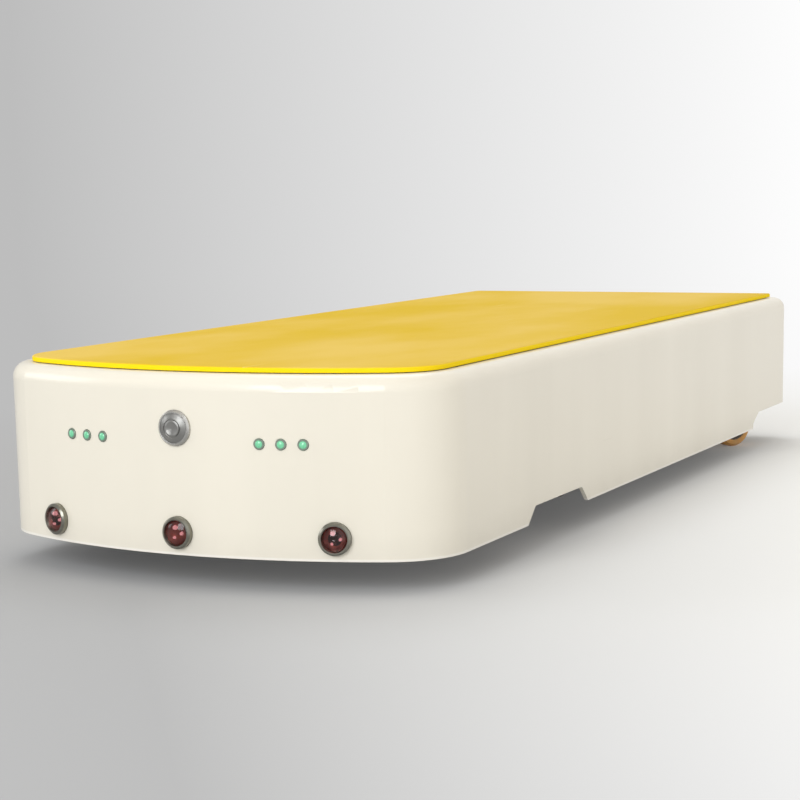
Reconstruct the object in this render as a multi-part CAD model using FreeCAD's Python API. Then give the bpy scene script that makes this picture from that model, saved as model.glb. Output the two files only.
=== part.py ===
"""Low autonomous mobile robot that drives under a trolley and lifts it on a flat deck.

Millimetres. +Z is up and the robot drives towards -Y. X is the width. The origin is on the floor,
under the middle of the overall length. A moulded skirt with a bowed nose hangs on two long rails.
Between the rails are a battery, four lift columns, two sprung drive modules and the controls.
Four swivel casters carry the rails. A bowed yellow deck rides on the lift columns.
"""
import FreeCAD
import Part

import math
import os

Vec = FreeCAD.Vector
X_AXIS = Vec(1, 0, 0)
Y_AXIS = Vec(0, 1, 0)
Z_AXIS = Vec(0, 0, 1)
SIDES = {"left": 1, "right": -1}

# ---- clearances -------------------------------------------------------------------------------
RUN = 0.05          # radial clearance of a shaft in its bore
SEAT = 0.3          # gap where a part lies against a curved or leaning wall
SWING = 5.0         # free space round a part that turns or swings

# ---- body shell -------------------------------------------------------------------------------
BODY_WIDTH = 600.0
BODY_LENGTH = 1480.0
GROUND_GAP = 38.0        # floor to the skirt's lower edge
SKIRT_HEIGHT = 206.0
BOW_RISE = 74.0          # how far the nose bows out over the full width
FRONT_CORNER_R = 94.0
REAR_CORNER_R = 26.0
SHOULDER_R = 18.0
SHELL_WALL = 5.0
DRAFT_INSET = 2.2        # how much narrower each side is at the lower edge
RIM_WIDTH = 34.0         # rim from the outer face to the deck opening
SEAT_RING_W = 40.0
SEAT_RING_T = 4.0
NOTCH_FRONT_Y = -434.0   # side notch at the lower edge, front and rear end
NOTCH_REAR_Y = -232.0
NOTCH_HEIGHT = 21.0
NOTCH_SLOPE = 23.0       # how far each end of the notch leans in
NOTCH_R = 7.0
TAIL_START_Y = 530.0     # from here back the lower edge is raised
TAIL_STEP = 9.0
TAIL_RAMP = 31.0
TAIL_RAISE = 25.0

# ---- deck and lift ----------------------------------------------------------------------------
DECK_INSET = 24.0
DECK_THICKNESS = 6.0
DECK_EDGE_R = 2.5
DECK_GAP = 1.0
DECK_TUBE_W = 40.0
DECK_TUBE_H = 25.0
DECK_TUBE_WALL = 2.5
DECK_TUBE_X = 170.0
COLUMN_X = 120.0
COLUMN_SIZE = 60.0
COLUMN_TOP_GAP = 6.0
RAM_R = 20.0
RAM_BURIED = 105.0       # length of ram inside the lowered column
BUSH_WALL = 6.0
BUSH_LENGTH = 20.0
LIFT_MOTOR_R = 21.0
LIFT_MOTOR_LENGTH = 92.0
GEARCASE_H = 12.0

# ---- chassis ----------------------------------------------------------------------------------
RAIL_X = 224.0
RAIL_W = 50.0
RAIL_H = 50.0
RAIL_WALL = 3.0
RAIL_FRONT_Y = -635.0
RAIL_REAR_Y = 655.0
CROSS_W = 40.0
CROSS_YS = (-615.0, -300.0, 300.0, 530.0)
PAN_Z = 56.0
PAN_T = 3.0
PAN_FRONT_Y = -335.0
PAN_REAR_Y = 550.0
PAN_HALF_W = 155.0
PAN_WING_HALF_W = 205.0
PAN_WING_Y = 285.0
VENT_COUNT = 7            # cooling slots between the drive modules and the rear columns
VENT_PITCH = 20.0
VENT_W = 7.0
VENT_FRONT_Y = 110.0
VENT_REAR_Y = 220.0
HANGER_X = 130.0
HANGER_W = 30.0
FLOOR_T = 4.0            # battery floor between the two front cross members
BRACKET_YS = (-430.0, -200.0, 230.0, 450.0)
BRACKET_LENGTH = 50.0
BRACKET_T = 4.0
BRACKET_DROP = 40.0

# ---- casters ----------------------------------------------------------------------------------
CASTER_PLACES = {"front": (140.0, -425.0), "rear": (224.0, 572.0)}
CASTER_YAW = {("front", "left"): 12.0, ("front", "right"): -8.0,
              ("rear", "left"): 35.0, ("rear", "right"): 18.0}
CASTER_R = 35.0
CASTER_TREAD_W = 25.0
CASTER_CORE_R = 24.0
CASTER_CORE_W = 23.0
CASTER_TRAIL = 27.0
CASTER_AXLE_R = 5.0
CASTER_FORK_T = 3.0
CASTER_FORK_GAP = 2.0    # wheel side to fork leg
CASTER_CROWN_R = 24.0
CASTER_RACE_R = 19.0
CASTER_RACE_H = 12.0
CASTER_PLATE_T = 4.0
CASTER_PLATE_L = 70.0
CASTER_BOLT_R = 3.0
CASTER_BOLT_INSET = 8.0

# ---- drive modules ----------------------------------------------------------------------------
DRIVE_R = 75.0
DRIVE_TREAD_W = 42.0
DRIVE_TREAD_T = 12.0
DRIVE_TREAD_BEVEL = 3.0
DRIVE_WHEEL_X = 150.0
DRIVE_WEB_T = 12.0
DRIVE_BOSS_R = 24.0
DRIVE_RIM_T = 7.0
DRIVE_WEB_HOLES = 6
DRIVE_WEB_HOLE_R = 9.0
DRIVE_SHAFT_R = 9.5
DRIVE_SHAFT_GRIP = 34.0
ARM_T = 10.0
ARM_GAP = 3.0            # wheel rim to arm
ARM_PIVOT_Y = 150.0
ARM_SPRING_Y = -100.0
ARM_HUB_R = 38.0
ARM_EYE_R = 16.0
ARM_BAR_H = 34.0
ARM_PIN_R = 8.0
SPRING_PAD = 36.0
SPRING_PAD_T = 6.0
SPRING_R = 15.0
SPRING_CORE_R = 7.0
SPRING_RINGS = 3
SPRING_POST = 8.0
EAR_T = 6.0
EAR_GAP = 1.0
TOP_PLATE_T = 6.0
GEARBOX_R = 32.0
GEARBOX_LENGTH = 44.0
MOTOR_R = 29.0
MOTOR_LENGTH = 50.0

# ---- battery and controls ---------------------------------------------------------------------
BATTERY_W = 300.0
BATTERY_GAP = 8.0
BATTERY_H = 100.0
BATTERY_LID_T = 14.0
BATTERY_CORNER_R = 6.0
TERMINAL_R = 7.0
TERMINAL_H = 9.0
TERMINAL_X = 90.0
TERMINAL_INSET = 30.0     # from the battery's rear face
CONTROL_W = 290.0
CONTROL_LENGTH = 175.0
CONTROL_H = 104.0
DRIVER_W = 120.0
DRIVER_LENGTH = 150.0
DRIVER_BASE_H = 20.0
FIN_H = 16.0
FIN_T = 4.0
FIN_COUNT = 9
READER_SIZE = 96.0
READER_H = 15.0
READER_Y = -190.0
READER_WINDOW_R = 33.0

# ---- nose fittings ----------------------------------------------------------------------------
SENSOR_XS = (-186.0, 0.0, 186.0)
SENSOR_UP = 26.0         # centre above the skirt's lower edge
SENSOR_BEZEL_R = 18.5
SENSOR_BEZEL_PROUD = 7.0
SENSOR_LENS_R = 14.0
SENSOR_LENS_STEP = 4.5     # height of the lens's straight side
SENSOR_PROUD = 9.0
SENSOR_BARREL_LENGTH = 52.0
SENSOR_NUT_R = 20.5
SENSOR_NUT_T = 5.0
SENSOR_BEVEL = 2.0
SENSOR_FUNNEL = 1.0        # how far the bezel opens out round the lens
LAMP_XS = (104.0, 129.0, 154.0)
LAMP_UP = 130.0
LAMP_BEZEL_R = 6.4
LAMP_BEZEL_PROUD = 1.4
LAMP_LENS_R = 4.2
LAMP_PROUD = 2.8
LAMP_BODY_LENGTH = 22.0
BUTTON_UP = 145.0
BUTTON_BEZEL_R = 20.5
BUTTON_BEZEL_PROUD = 4.0
BUTTON_CAP_R = 16.5
BUTTON_CAP_PROUD = 7.5
BUTTON_DISH_R = 9.5
BUTTON_DISH_DEPTH = 1.6
BUTTON_GROOVE_W = 1.6
BUTTON_GROOVE_FOOT = 2.8  # below the crown of the cap
BUTTON_TRAVEL = 3.5
BUTTON_BODY_LENGTH = 38.0
SPOTFACE = 0.9           # depth of the flat cut for each fitting

# ---- tail fittings ----------------------------------------------------------------------------
TAIL_UP = 128.0          # centre above the skirt's lower edge
ESTOP_X = -150.0
ESTOP_COLLAR_R = 24.0
ESTOP_COLLAR_T = 3.0
ESTOP_CAP_R = 18.0
ESTOP_CAP_H = 13.0
ESTOP_STEM_R = 8.0
ESTOP_TRAVEL = 4.0
ESTOP_BODY_LENGTH = 36.0
KNOB_X = -80.0
KNOB_R = 13.0
KNOB_H = 14.0
KNOB_BODY_LENGTH = 28.0
CONTACT_X = 60.0
CONTACT_BLOCK_W = 130.0
CONTACT_BLOCK_H = 46.0
CONTACT_BLOCK_T = 9.0
CONTACT_STRIP_H = 10.0
CONTACT_STRIP_INSET = 12.0
CONTACT_CORNER_R = 4.0
CONTACT_STRIP_T = 3.0

# ---- values that follow -----------------------------------------------------------------------
HALF_W = BODY_WIDTH / 2
LEAN = DRAFT_INSET / SKIRT_HEIGHT
SENSOR_LEAN = LEAN * (SKIRT_HEIGHT - SENSOR_UP)
TAIL_LEAN = LEAN * (SKIRT_HEIGHT - TAIL_UP)
ESTOP_PROUD = ESTOP_COLLAR_T + ESTOP_TRAVEL + ESTOP_CAP_H + 1.0
TAIL_PROUD = ESTOP_PROUD + SEAT - TAIL_LEAN
FRONT_Y = (SENSOR_PROUD - SENSOR_LEAN - TAIL_PROUD - BODY_LENGTH) / 2      # centres the length
REAR_Y = FRONT_Y + BODY_LENGTH
SKIRT_Z = GROUND_GAP
SHELL_TOP = SKIRT_Z + SKIRT_HEIGHT
DECK_Z = SHELL_TOP + DECK_GAP
BOW_R = (HALF_W ** 2 + BOW_RISE ** 2) / (2 * BOW_RISE)
BOW_Y = FRONT_Y + BOW_R
CORNER_X = HALF_W - FRONT_CORNER_R
CORNER_Y = BOW_Y - math.sqrt((BOW_R - FRONT_CORNER_R) ** 2 - CORNER_X ** 2)
SMALLEST_CORNER = 4.0

FORK_LEG_X = CASTER_TREAD_W / 2 + CASTER_FORK_GAP
CROWN_Z = 2 * CASTER_R + SWING
RACE_Z = CROWN_Z + CASTER_FORK_T
PLATE_Z = RACE_Z + CASTER_RACE_H
RAIL_Z = PLATE_Z + CASTER_PLATE_T
RAIL_TOP = RAIL_Z + RAIL_H
RAIL_INNER_X = RAIL_X - RAIL_W / 2
RAIL_OUTER_X = RAIL_X + RAIL_W / 2
PAN_TOP = PAN_Z + PAN_T
DECK_TUBE_Z = DECK_Z - DECK_TUBE_H
COLUMN_TOP = DECK_TUBE_Z - COLUMN_TOP_GAP
COLUMN_Y = CROSS_YS[2] - CROSS_W / 2 - COLUMN_SIZE / 2

ARM_OUTER_X = DRIVE_WHEEL_X - DRIVE_TREAD_W / 2 - ARM_GAP
ARM_INNER_X = ARM_OUTER_X - ARM_T
ARM_MID_X = (ARM_OUTER_X + ARM_INNER_X) / 2
PAD_TOP = DRIVE_R + ARM_BAR_H / 2 + SPRING_PAD_T
GEARBOX_INNER_X = ARM_INNER_X - GEARBOX_LENGTH


# ---- small helpers ----------------------------------------------------------------------------
def block(x0, x1, y0, y1, z0, z1):
    """Box between two corners, whichever order each pair is in."""
    low = Vec(min(x0, x1), min(y0, y1), min(z0, z1))
    return Part.makeBox(abs(x1 - x0), abs(y1 - y0), abs(z1 - z0), low)


def rod(radius, start, end):
    """Round bar from one point to another."""
    return Part.makeCylinder(radius, (end - start).Length, start, end - start)


def turned(points):
    """Solid of revolution about Z from (radius, height) corners."""
    corners = [Vec(r, 0, z) for r, z in points]
    face = Part.Face(Part.makePolygon(corners + corners[:1]))
    return face.revolve(Vec(0, 0, 0), Z_AXIS, 360)


def domed(radius, foot_z, shoulder_z, crown_z):
    """Disc with a straight side up to the shoulder and a spherical crown."""
    rise = crown_z - shoulder_z
    ball_r = (radius ** 2 + rise ** 2) / (2 * rise)
    mid = math.asin(radius / ball_r) / 2
    arc_mid = Vec(ball_r * math.sin(mid), 0, crown_z - ball_r + ball_r * math.cos(mid))
    foot, shoulder, crown = Vec(radius, 0, foot_z), Vec(radius, 0, shoulder_z), Vec(0, 0, crown_z)
    edges = [Part.makeLine(Vec(0, 0, foot_z), foot), Part.makeLine(foot, shoulder),
             Part.Arc(shoulder, arc_mid, crown).toShape(), Part.makeLine(crown, Vec(0, 0, foot_z))]
    return Part.Face(Part.Wire(edges)).revolve(Vec(0, 0, 0), Z_AXIS, 360)


def prism_x(points, x0, x1):
    """Extrudes a (y, z) outline along X."""
    corners = [Vec(x0, y, z) for y, z in points]
    return Part.Face(Part.makePolygon(corners + corners[:1])).extrude(Vec(x1 - x0, 0, 0))


def seated(shape, point, outward):
    """Moves a shape built on Z so that it stands on a point and faces outward."""
    moved = shape.copy()
    moved.Placement = FreeCAD.Placement(point, FreeCAD.Rotation(Z_AXIS, outward)).multiply(moved.Placement)
    return moved


def hexagon(radius, z0, z1):
    """Hexagonal prism of that corner radius."""
    corners = [Vec(radius * math.cos(k * math.pi / 3), radius * math.sin(k * math.pi / 3), z0)
               for k in range(6)]
    return Part.Face(Part.makePolygon(corners + corners[:1])).extrude(Vec(0, 0, z1 - z0))


def mirrored(shape):
    """The same shape on the other side of the robot."""
    return shape.mirror(Vec(0, 0, 0), X_AXIS)


def on_side(shape, side):
    """A shape built for the left side, put on the side named."""
    return shape if SIDES[side] > 0 else mirrored(shape)


def save(name, *shapes):
    """Writes one node, which may be a group of separate solids."""
    solids = [solid for shape in shapes for solid in shape.Solids]
    whole = solids[0] if len(solids) == 1 else Part.makeCompound(solids)
    whole.exportStep(os.path.join("parts", name + ".step"))


# ---- body outline -----------------------------------------------------------------------------
def outline(inset, z):
    """Closed wire of the body's plan, moved in by inset: bowed nose, round corners, square tail."""
    away = Vec(CORNER_X, CORNER_Y - BOW_Y, 0) / (BOW_R - FRONT_CORNER_R)
    bow_end = Vec(0, BOW_Y, z) + away * (BOW_R - inset)
    corner_r = FRONT_CORNER_R - inset
    half = HALF_W - inset
    turn = (math.atan2(away.y, away.x)) / 2
    corner_mid = Vec(CORNER_X + corner_r * math.cos(turn), CORNER_Y + corner_r * math.sin(turn), z)
    side_front = Vec(half, CORNER_Y, z)
    rear_r = max(REAR_CORNER_R - inset, SMALLEST_CORNER)
    rear = REAR_Y - inset
    diagonal = rear_r * (1 - math.sqrt(0.5))
    side_rear = Vec(half, rear - rear_r, z)
    rear_mid = Vec(half - diagonal, rear - diagonal, z)
    rear_end = Vec(half - rear_r, rear, z)

    def flip(p):
        return Vec(-p.x, p.y, p.z)

    edges = [Part.Arc(flip(bow_end), Vec(0, FRONT_Y + inset, z), bow_end).toShape(),
             Part.Arc(bow_end, corner_mid, side_front).toShape(),
             Part.makeLine(side_front, side_rear),
             Part.Arc(side_rear, rear_mid, rear_end).toShape(),
             Part.makeLine(rear_end, flip(rear_end)),
             Part.Arc(flip(rear_end), flip(rear_mid), flip(side_rear)).toShape(),
             Part.makeLine(flip(side_rear), flip(side_front)),
             Part.Arc(flip(side_front), flip(corner_mid), flip(bow_end)).toShape()]
    return Part.Wire(edges)


def draft_at(z):
    """How far the outer wall stands in at a height, compared with the shell's top."""
    return LEAN * (SHELL_TOP - z)


def body_form(inset, z0, z1):
    """Solid between two heights, a constant distance inside the outer wall."""
    wires = [outline(inset + draft_at(z), z) for z in (z0, z1)]
    return Part.makeLoft(wires, True, True)


def plan_slab(inset, z0, z1):
    """Flat slab with the body's plan."""
    return Part.Face(outline(inset, z0)).extrude(Vec(0, 0, z1 - z0))


def edges_at(shape, z):
    """The edges that lie flat at one height."""
    return [e for e in shape.Edges
            if abs(e.BoundBox.ZMin - z) < 1e-4 and abs(e.BoundBox.ZMax - z) < 1e-4]


def edges_along_z(shape):
    """The straight edges that stand upright."""
    return [e for e in shape.Edges if abs(e.tangentAt(e.FirstParameter).z) > 0.9]


def nose_point(x, z):
    """Point on the bowed nose and its outward direction."""
    radius = BOW_R - draft_at(z)
    depth = math.sqrt(radius ** 2 - x ** 2)
    return Vec(x, BOW_Y - depth, z), Vec(x / radius, -depth / radius, 0)


def on_nose(shape, x, z):
    """A fitting built on Z, seated on the nose at x and height z."""
    point, outward = nose_point(x, z)
    return seated(shape, point, outward)


SENSOR_Z = SKIRT_Z + SENSOR_UP
LAMP_Z = SKIRT_Z + LAMP_UP
BUTTON_Z = SKIRT_Z + BUTTON_UP
LAMP_PLACES = [(side * x, LAMP_Z) for side in (-1, 1) for x in LAMP_XS]
SENSOR_BARREL_R = SENSOR_LENS_R + 1.0
LAMP_BODY_R = LAMP_LENS_R + 0.6
BUTTON_BODY_R = BUTTON_CAP_R - 1.5
TAIL_Z = SKIRT_Z + TAIL_UP
ESTOP_BODY_R = ESTOP_STEM_R + 3.0
KNOB_BODY_R = KNOB_R - 3.0


def on_tail(shape, x):
    """A fitting built on Z, standing on the tail wall and facing back."""
    return seated(shape, Vec(x, REAR_Y - TAIL_LEAN + SEAT, TAIL_Z), Y_AXIS)


# ---- shell ------------------------------------------------------------------------------------
def body_shell():
    """One-piece moulded skirt with a rounded shoulder, an inward rim and an open underside."""
    outer = body_form(0, SKIRT_Z, SHELL_TOP)
    outer = outer.makeFillet(SHOULDER_R, edges_at(outer, SHELL_TOP))
    inner_top = SHELL_TOP - SHELL_WALL
    inner = body_form(SHELL_WALL, SKIRT_Z - SHELL_WALL, inner_top)
    inner = inner.makeFillet(SHOULDER_R - SHELL_WALL, edges_at(inner, inner_top))
    shell = outer.cut(inner)
    shell = shell.cut(plan_slab(RIM_WIDTH, inner_top - SHELL_WALL, SHELL_TOP + SHELL_WALL))
    below = SKIRT_Z - SHELL_WALL
    notch_top = SKIRT_Z + NOTCH_HEIGHT
    notch = prism_x([(NOTCH_FRONT_Y, below), (NOTCH_FRONT_Y, SKIRT_Z), (NOTCH_FRONT_Y + NOTCH_SLOPE, notch_top),
                     (NOTCH_REAR_Y - NOTCH_SLOPE, notch_top), (NOTCH_REAR_Y, SKIRT_Z),
                     (NOTCH_REAR_Y, below)], -HALF_W, HALF_W)
    notch = notch.makeFillet(NOTCH_R, [e for e in notch.Edges if abs(e.CenterOfMass.z - notch_top) < 1e-4
                                       and abs(e.tangentAt(e.FirstParameter).x) > 0.9])
    tail_z = SKIRT_Z + TAIL_RAISE
    tail = prism_x([(TAIL_START_Y, below), (TAIL_START_Y, SKIRT_Z + TAIL_STEP),
                    (TAIL_START_Y + TAIL_RAMP, tail_z), (REAR_Y + SHELL_WALL, tail_z),
                    (REAR_Y + SHELL_WALL, below)], -HALF_W, HALF_W)
    shell = shell.cut(notch).cut(tail)
    holes = []
    for x in SENSOR_XS:
        holes += fitting_holes(x, SENSOR_Z, SENSOR_BEZEL_R, SENSOR_BARREL_R)
    for x, z in LAMP_PLACES:
        holes += fitting_holes(x, z, LAMP_BEZEL_R, LAMP_BODY_R)
    holes += fitting_holes(0, BUTTON_Z, BUTTON_BEZEL_R, BUTTON_BODY_R)
    for x, r in ((ESTOP_X, ESTOP_BODY_R), (KNOB_X, KNOB_BODY_R)):
        holes.append(on_tail(Part.makeCylinder(r + SEAT, 4 * SHELL_WALL, Vec(0, 0, -2 * SHELL_WALL)), x))
    return shell.cut(Part.makeCompound(holes))


def seat_ring():
    """Flat ring bonded under the shell's rim, which carries the rim and frames the deck opening."""
    top = SHELL_TOP - SHELL_WALL
    inset = SHOULDER_R + 1
    ring = plan_slab(inset, top - SEAT_RING_T, top)
    return ring.cut(plan_slab(inset + SEAT_RING_W, top - 2 * SEAT_RING_T, top + SEAT_RING_T))


def fitting_holes(x, z, bezel_r, body_r):
    """Through hole for a fitting's body and a flat for its bezel."""
    spot = Part.makeCylinder(bezel_r + SEAT, SHELL_WALL, Vec(0, 0, -SPOTFACE))
    through = Part.makeCylinder(body_r + SEAT, 4 * SHELL_WALL, Vec(0, 0, -3 * SHELL_WALL))
    return [on_nose(spot.fuse(through), x, z)]


# ---- nose fittings ----------------------------------------------------------------------------
def sensor_parts():
    """Bezels, domed lenses, threaded barrels and nuts of the three obstacle sensors."""
    bezel = turned([(SENSOR_LENS_R + RUN, -SPOTFACE), (SENSOR_BEZEL_R, -SPOTFACE),
                    (SENSOR_BEZEL_R, SENSOR_BEZEL_PROUD - SENSOR_BEVEL),
                    (SENSOR_BEZEL_R - SENSOR_BEVEL, SENSOR_BEZEL_PROUD),
                    (SENSOR_LENS_R + SENSOR_FUNNEL, SENSOR_BEZEL_PROUD), (SENSOR_LENS_R + RUN, SENSOR_LENS_STEP)])
    lens = domed(SENSOR_LENS_R, -SPOTFACE, SENSOR_LENS_STEP, SENSOR_PROUD)
    barrel = Part.makeCylinder(SENSOR_BARREL_R, SENSOR_BARREL_LENGTH, Vec(0, 0, -SPOTFACE - SENSOR_BARREL_LENGTH))
    nut_front = -SHELL_WALL - 2 * SEAT
    nut = hexagon(SENSOR_NUT_R, nut_front - SENSOR_NUT_T, nut_front)
    nut = nut.cut(Part.makeCylinder(SENSOR_BARREL_R + RUN, 3 * SENSOR_NUT_T, Vec(0, 0, nut_front - 2 * SENSOR_NUT_T)))
    save("sensor_bezels", *[on_nose(bezel, x, SENSOR_Z) for x in SENSOR_XS])
    save("sensor_lenses", *[on_nose(lens, x, SENSOR_Z) for x in SENSOR_XS])
    return [on_nose(piece, x, SENSOR_Z) for x in SENSOR_XS for piece in (barrel, nut)]


def lamp_parts():
    """Bezels, lenses and bodies of the six indicator lamps."""
    bezel = turned([(LAMP_LENS_R + RUN, -SPOTFACE), (LAMP_BEZEL_R, -SPOTFACE),
                    (LAMP_BEZEL_R, LAMP_BEZEL_PROUD - 0.5), (LAMP_BEZEL_R - 0.5, LAMP_BEZEL_PROUD),
                    (LAMP_LENS_R + RUN, LAMP_BEZEL_PROUD)])
    lens = domed(LAMP_LENS_R, -SPOTFACE, LAMP_BEZEL_PROUD, LAMP_PROUD)
    body = Part.makeCylinder(LAMP_BODY_R, LAMP_BODY_LENGTH, Vec(0, 0, -SPOTFACE - LAMP_BODY_LENGTH))
    save("lamp_bezels", *[on_nose(bezel, x, z) for x, z in LAMP_PLACES])
    save("lamp_lenses", *[on_nose(lens, x, z) for x, z in LAMP_PLACES])
    return [on_nose(body, x, z) for x, z in LAMP_PLACES]


def button_parts():
    """Bezel, switch body and dished cap of the start button."""
    inner = BUTTON_CAP_R + SEAT
    bezel = turned([(inner, -SPOTFACE), (BUTTON_BEZEL_R, -SPOTFACE), (BUTTON_BEZEL_R, BUTTON_BEZEL_PROUD - 2),
                    (BUTTON_BEZEL_R - 2, BUTTON_BEZEL_PROUD), (inner, BUTTON_BEZEL_PROUD)])
    body_top = -SPOTFACE - SHELL_WALL
    cap_foot = BUTTON_BEZEL_PROUD - BUTTON_TRAVEL - 1.0
    plunger_r = BUTTON_CAP_R / 2
    body = turned([(0, body_top - BUTTON_BODY_LENGTH), (BUTTON_BODY_R, body_top - BUTTON_BODY_LENGTH),
                   (BUTTON_BODY_R, -SPOTFACE - SEAT), (plunger_r + SEAT, -SPOTFACE - SEAT),
                   (plunger_r + SEAT, body_top - BUTTON_TRAVEL - 1), (0, body_top - BUTTON_TRAVEL - 1)])
    cap = domed(BUTTON_CAP_R, cap_foot + BUTTON_TRAVEL, BUTTON_BEZEL_PROUD, BUTTON_CAP_PROUD)
    dish_ball_r = 2.2 * BUTTON_CAP_R
    dish = Part.makeSphere(dish_ball_r, Vec(0, 0, BUTTON_CAP_PROUD - BUTTON_DISH_DEPTH + dish_ball_r))
    groove_foot = BUTTON_CAP_PROUD - BUTTON_GROOVE_FOOT
    groove_r = BUTTON_DISH_R + BUTTON_GROOVE_W
    groove = turned([(BUTTON_DISH_R, groove_foot), (groove_r, groove_foot),
                     (groove_r, BUTTON_CAP_PROUD), (BUTTON_DISH_R, BUTTON_CAP_PROUD)])
    plunger = Part.makeCylinder(plunger_r, cap_foot + BUTTON_TRAVEL - body_top + 1, Vec(0, 0, body_top - 1))
    cap = cap.cut(dish).cut(groove).fuse(plunger)
    save("button_bezel", on_nose(bezel, 0, BUTTON_Z))
    save("button_cap", on_nose(cap.removeSplitter(), 0, BUTTON_Z))
    return [on_nose(body, 0, BUTTON_Z)]


# ---- chassis ----------------------------------------------------------------------------------
def square_tube(width, height, wall, start, end):
    """Straight box tube between two points on its lower centre line, along X or Y."""
    along = end - start
    if abs(along.x) > abs(along.y):
        outer = block(start.x, end.x, start.y - width / 2, start.y + width / 2, start.z, start.z + height)
        inner = block(start.x, end.x, start.y - width / 2 + wall, start.y + width / 2 - wall,
                      start.z + wall, start.z + height - wall)
    else:
        outer = block(start.x - width / 2, start.x + width / 2, start.y, end.y, start.z, start.z + height)
        inner = block(start.x - width / 2 + wall, start.x + width / 2 - wall, start.y, end.y,
                      start.z + wall, start.z + height - wall)
    return outer.cut(inner)


def chassis_parts():
    """Long rails, cross members, belly pan, its hangers and the brackets that carry the shell."""
    rail = square_tube(RAIL_W, RAIL_H, RAIL_WALL, Vec(RAIL_X, RAIL_FRONT_Y, RAIL_Z), Vec(RAIL_X, RAIL_REAR_Y, RAIL_Z))
    save("frame_rails", rail, mirrored(rail))
    crosses = [square_tube(CROSS_W, RAIL_H, RAIL_WALL, Vec(-RAIL_INNER_X, y, RAIL_Z), Vec(RAIL_INNER_X, y, RAIL_Z))
               for y in CROSS_YS]
    save("frame_cross_members", *crosses)
    floor = block(-RAIL_INNER_X, RAIL_INNER_X, CROSS_YS[0] + CROSS_W / 2, CROSS_YS[1] - CROSS_W / 2,
                  RAIL_Z, RAIL_Z + FLOOR_T)
    save("battery_floor", floor)

    pan = block(-PAN_HALF_W, PAN_HALF_W, PAN_FRONT_Y, PAN_REAR_Y, PAN_Z, PAN_TOP)
    pan = pan.fuse(block(-PAN_WING_HALF_W, PAN_WING_HALF_W, -PAN_WING_Y, PAN_WING_Y, PAN_Z, PAN_TOP))
    slot_x0 = ARM_INNER_X - SWING
    slot_x1 = DRIVE_WHEEL_X + DRIVE_TREAD_W / 2 + SWING
    drop = DRIVE_R + 2 * SWING
    for side in SIDES.values():
        pan = pan.cut(block(side * slot_x0, side * slot_x1, -drop, drop, 0, RAIL_Z))
        pan = pan.cut(block(side * (slot_x0 - SWING), side * (ARM_OUTER_X + SWING + EAR_T),
                            ARM_SPRING_Y - SPRING_PAD / 2 - SWING, ARM_PIVOT_Y + ARM_EYE_R + SWING, 0, RAIL_Z))
        pan = pan.cut(block(0, side * slot_x0, -GEARBOX_R - SWING, GEARBOX_R + SWING, 0, RAIL_Z))
    for k in range(VENT_COUNT):
        x = (k - (VENT_COUNT - 1) / 2) * VENT_PITCH
        slot = block(x - VENT_W / 2, x + VENT_W / 2, VENT_FRONT_Y, VENT_REAR_Y, PAN_Z, PAN_TOP)
        pan = pan.cut(slot.makeFillet(VENT_W / 2.1, edges_along_z(slot)))
    save("belly_pan", pan.removeSplitter())

    brackets = []
    for y in CROSS_YS[1:]:
        hanger = block(HANGER_X - HANGER_W / 2, HANGER_X + HANGER_W / 2, y - CROSS_W / 2, y + CROSS_W / 2,
                       PAN_TOP, RAIL_Z)
        brackets += [hanger, mirrored(hanger)]
    tab_x = HALF_W - SHELL_WALL - draft_at(RAIL_TOP - BRACKET_DROP) - SEAT
    for y in BRACKET_YS:
        foot = block(RAIL_INNER_X, tab_x, y - BRACKET_LENGTH / 2, y + BRACKET_LENGTH / 2,
                     RAIL_TOP, RAIL_TOP + BRACKET_T)
        tab = block(tab_x - BRACKET_T, tab_x, y - BRACKET_LENGTH / 2, y + BRACKET_LENGTH / 2,
                    RAIL_TOP - BRACKET_DROP, RAIL_TOP)
        both = foot.fuse(tab).removeSplitter()
        brackets += [both, mirrored(both)]
    save("frame_brackets", *brackets)


# ---- casters ----------------------------------------------------------------------------------
def caster_fork():
    """Pressed fork with its crown, two legs and the lower race. The swivel axis is Z, trail along +Y."""
    half = FORK_LEG_X + CASTER_FORK_T
    boss_r = 2 * CASTER_AXLE_R
    boss = Vec(0, CASTER_TRAIL, CASTER_R)
    front_y, rear_y = -CASTER_CROWN_R * 0.7, CASTER_CROWN_R * 0.9
    slope = prism_x([(front_y, RACE_Z), (rear_y, RACE_Z), (boss.y + boss_r, boss.z), (boss.y - boss_r, boss.z)],
                    -half, half)
    round_end = rod(boss_r, boss - X_AXIS * half, boss + X_AXIS * half)
    legs = slope.fuse(round_end).cut(block(-FORK_LEG_X, FORK_LEG_X, -BODY_WIDTH, BODY_WIDTH, 0, CROWN_Z))
    crown = Part.makeCylinder(CASTER_CROWN_R, CASTER_FORK_T, Vec(0, 0, CROWN_Z))
    race = turned([(0, RACE_Z), (CASTER_RACE_R, RACE_Z), (CASTER_RACE_R, RACE_Z + CASTER_RACE_H * 0.4),
                   (CASTER_RACE_R - 3, RACE_Z + CASTER_RACE_H * 0.5), (0, RACE_Z + CASTER_RACE_H * 0.5)])
    bore = rod(CASTER_AXLE_R + RUN, boss - X_AXIS * 2 * half, boss + X_AXIS * 2 * half)
    return legs.fuse(crown).fuse(race).cut(bore).removeSplitter()


def caster_axle():
    """Axle bolt with a round head and a nut end."""
    half = FORK_LEG_X + CASTER_FORK_T
    head = 3.0
    centre = Vec(0, CASTER_TRAIL, CASTER_R)
    bolt = rod(CASTER_AXLE_R, centre - X_AXIS * (half + head), centre + X_AXIS * (half + head))
    for side in (-1, 1):
        bolt = bolt.fuse(rod(CASTER_AXLE_R + 3, centre + X_AXIS * side * half, centre + X_AXIS * side * (half + head)))
    return bolt.removeSplitter()


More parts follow.
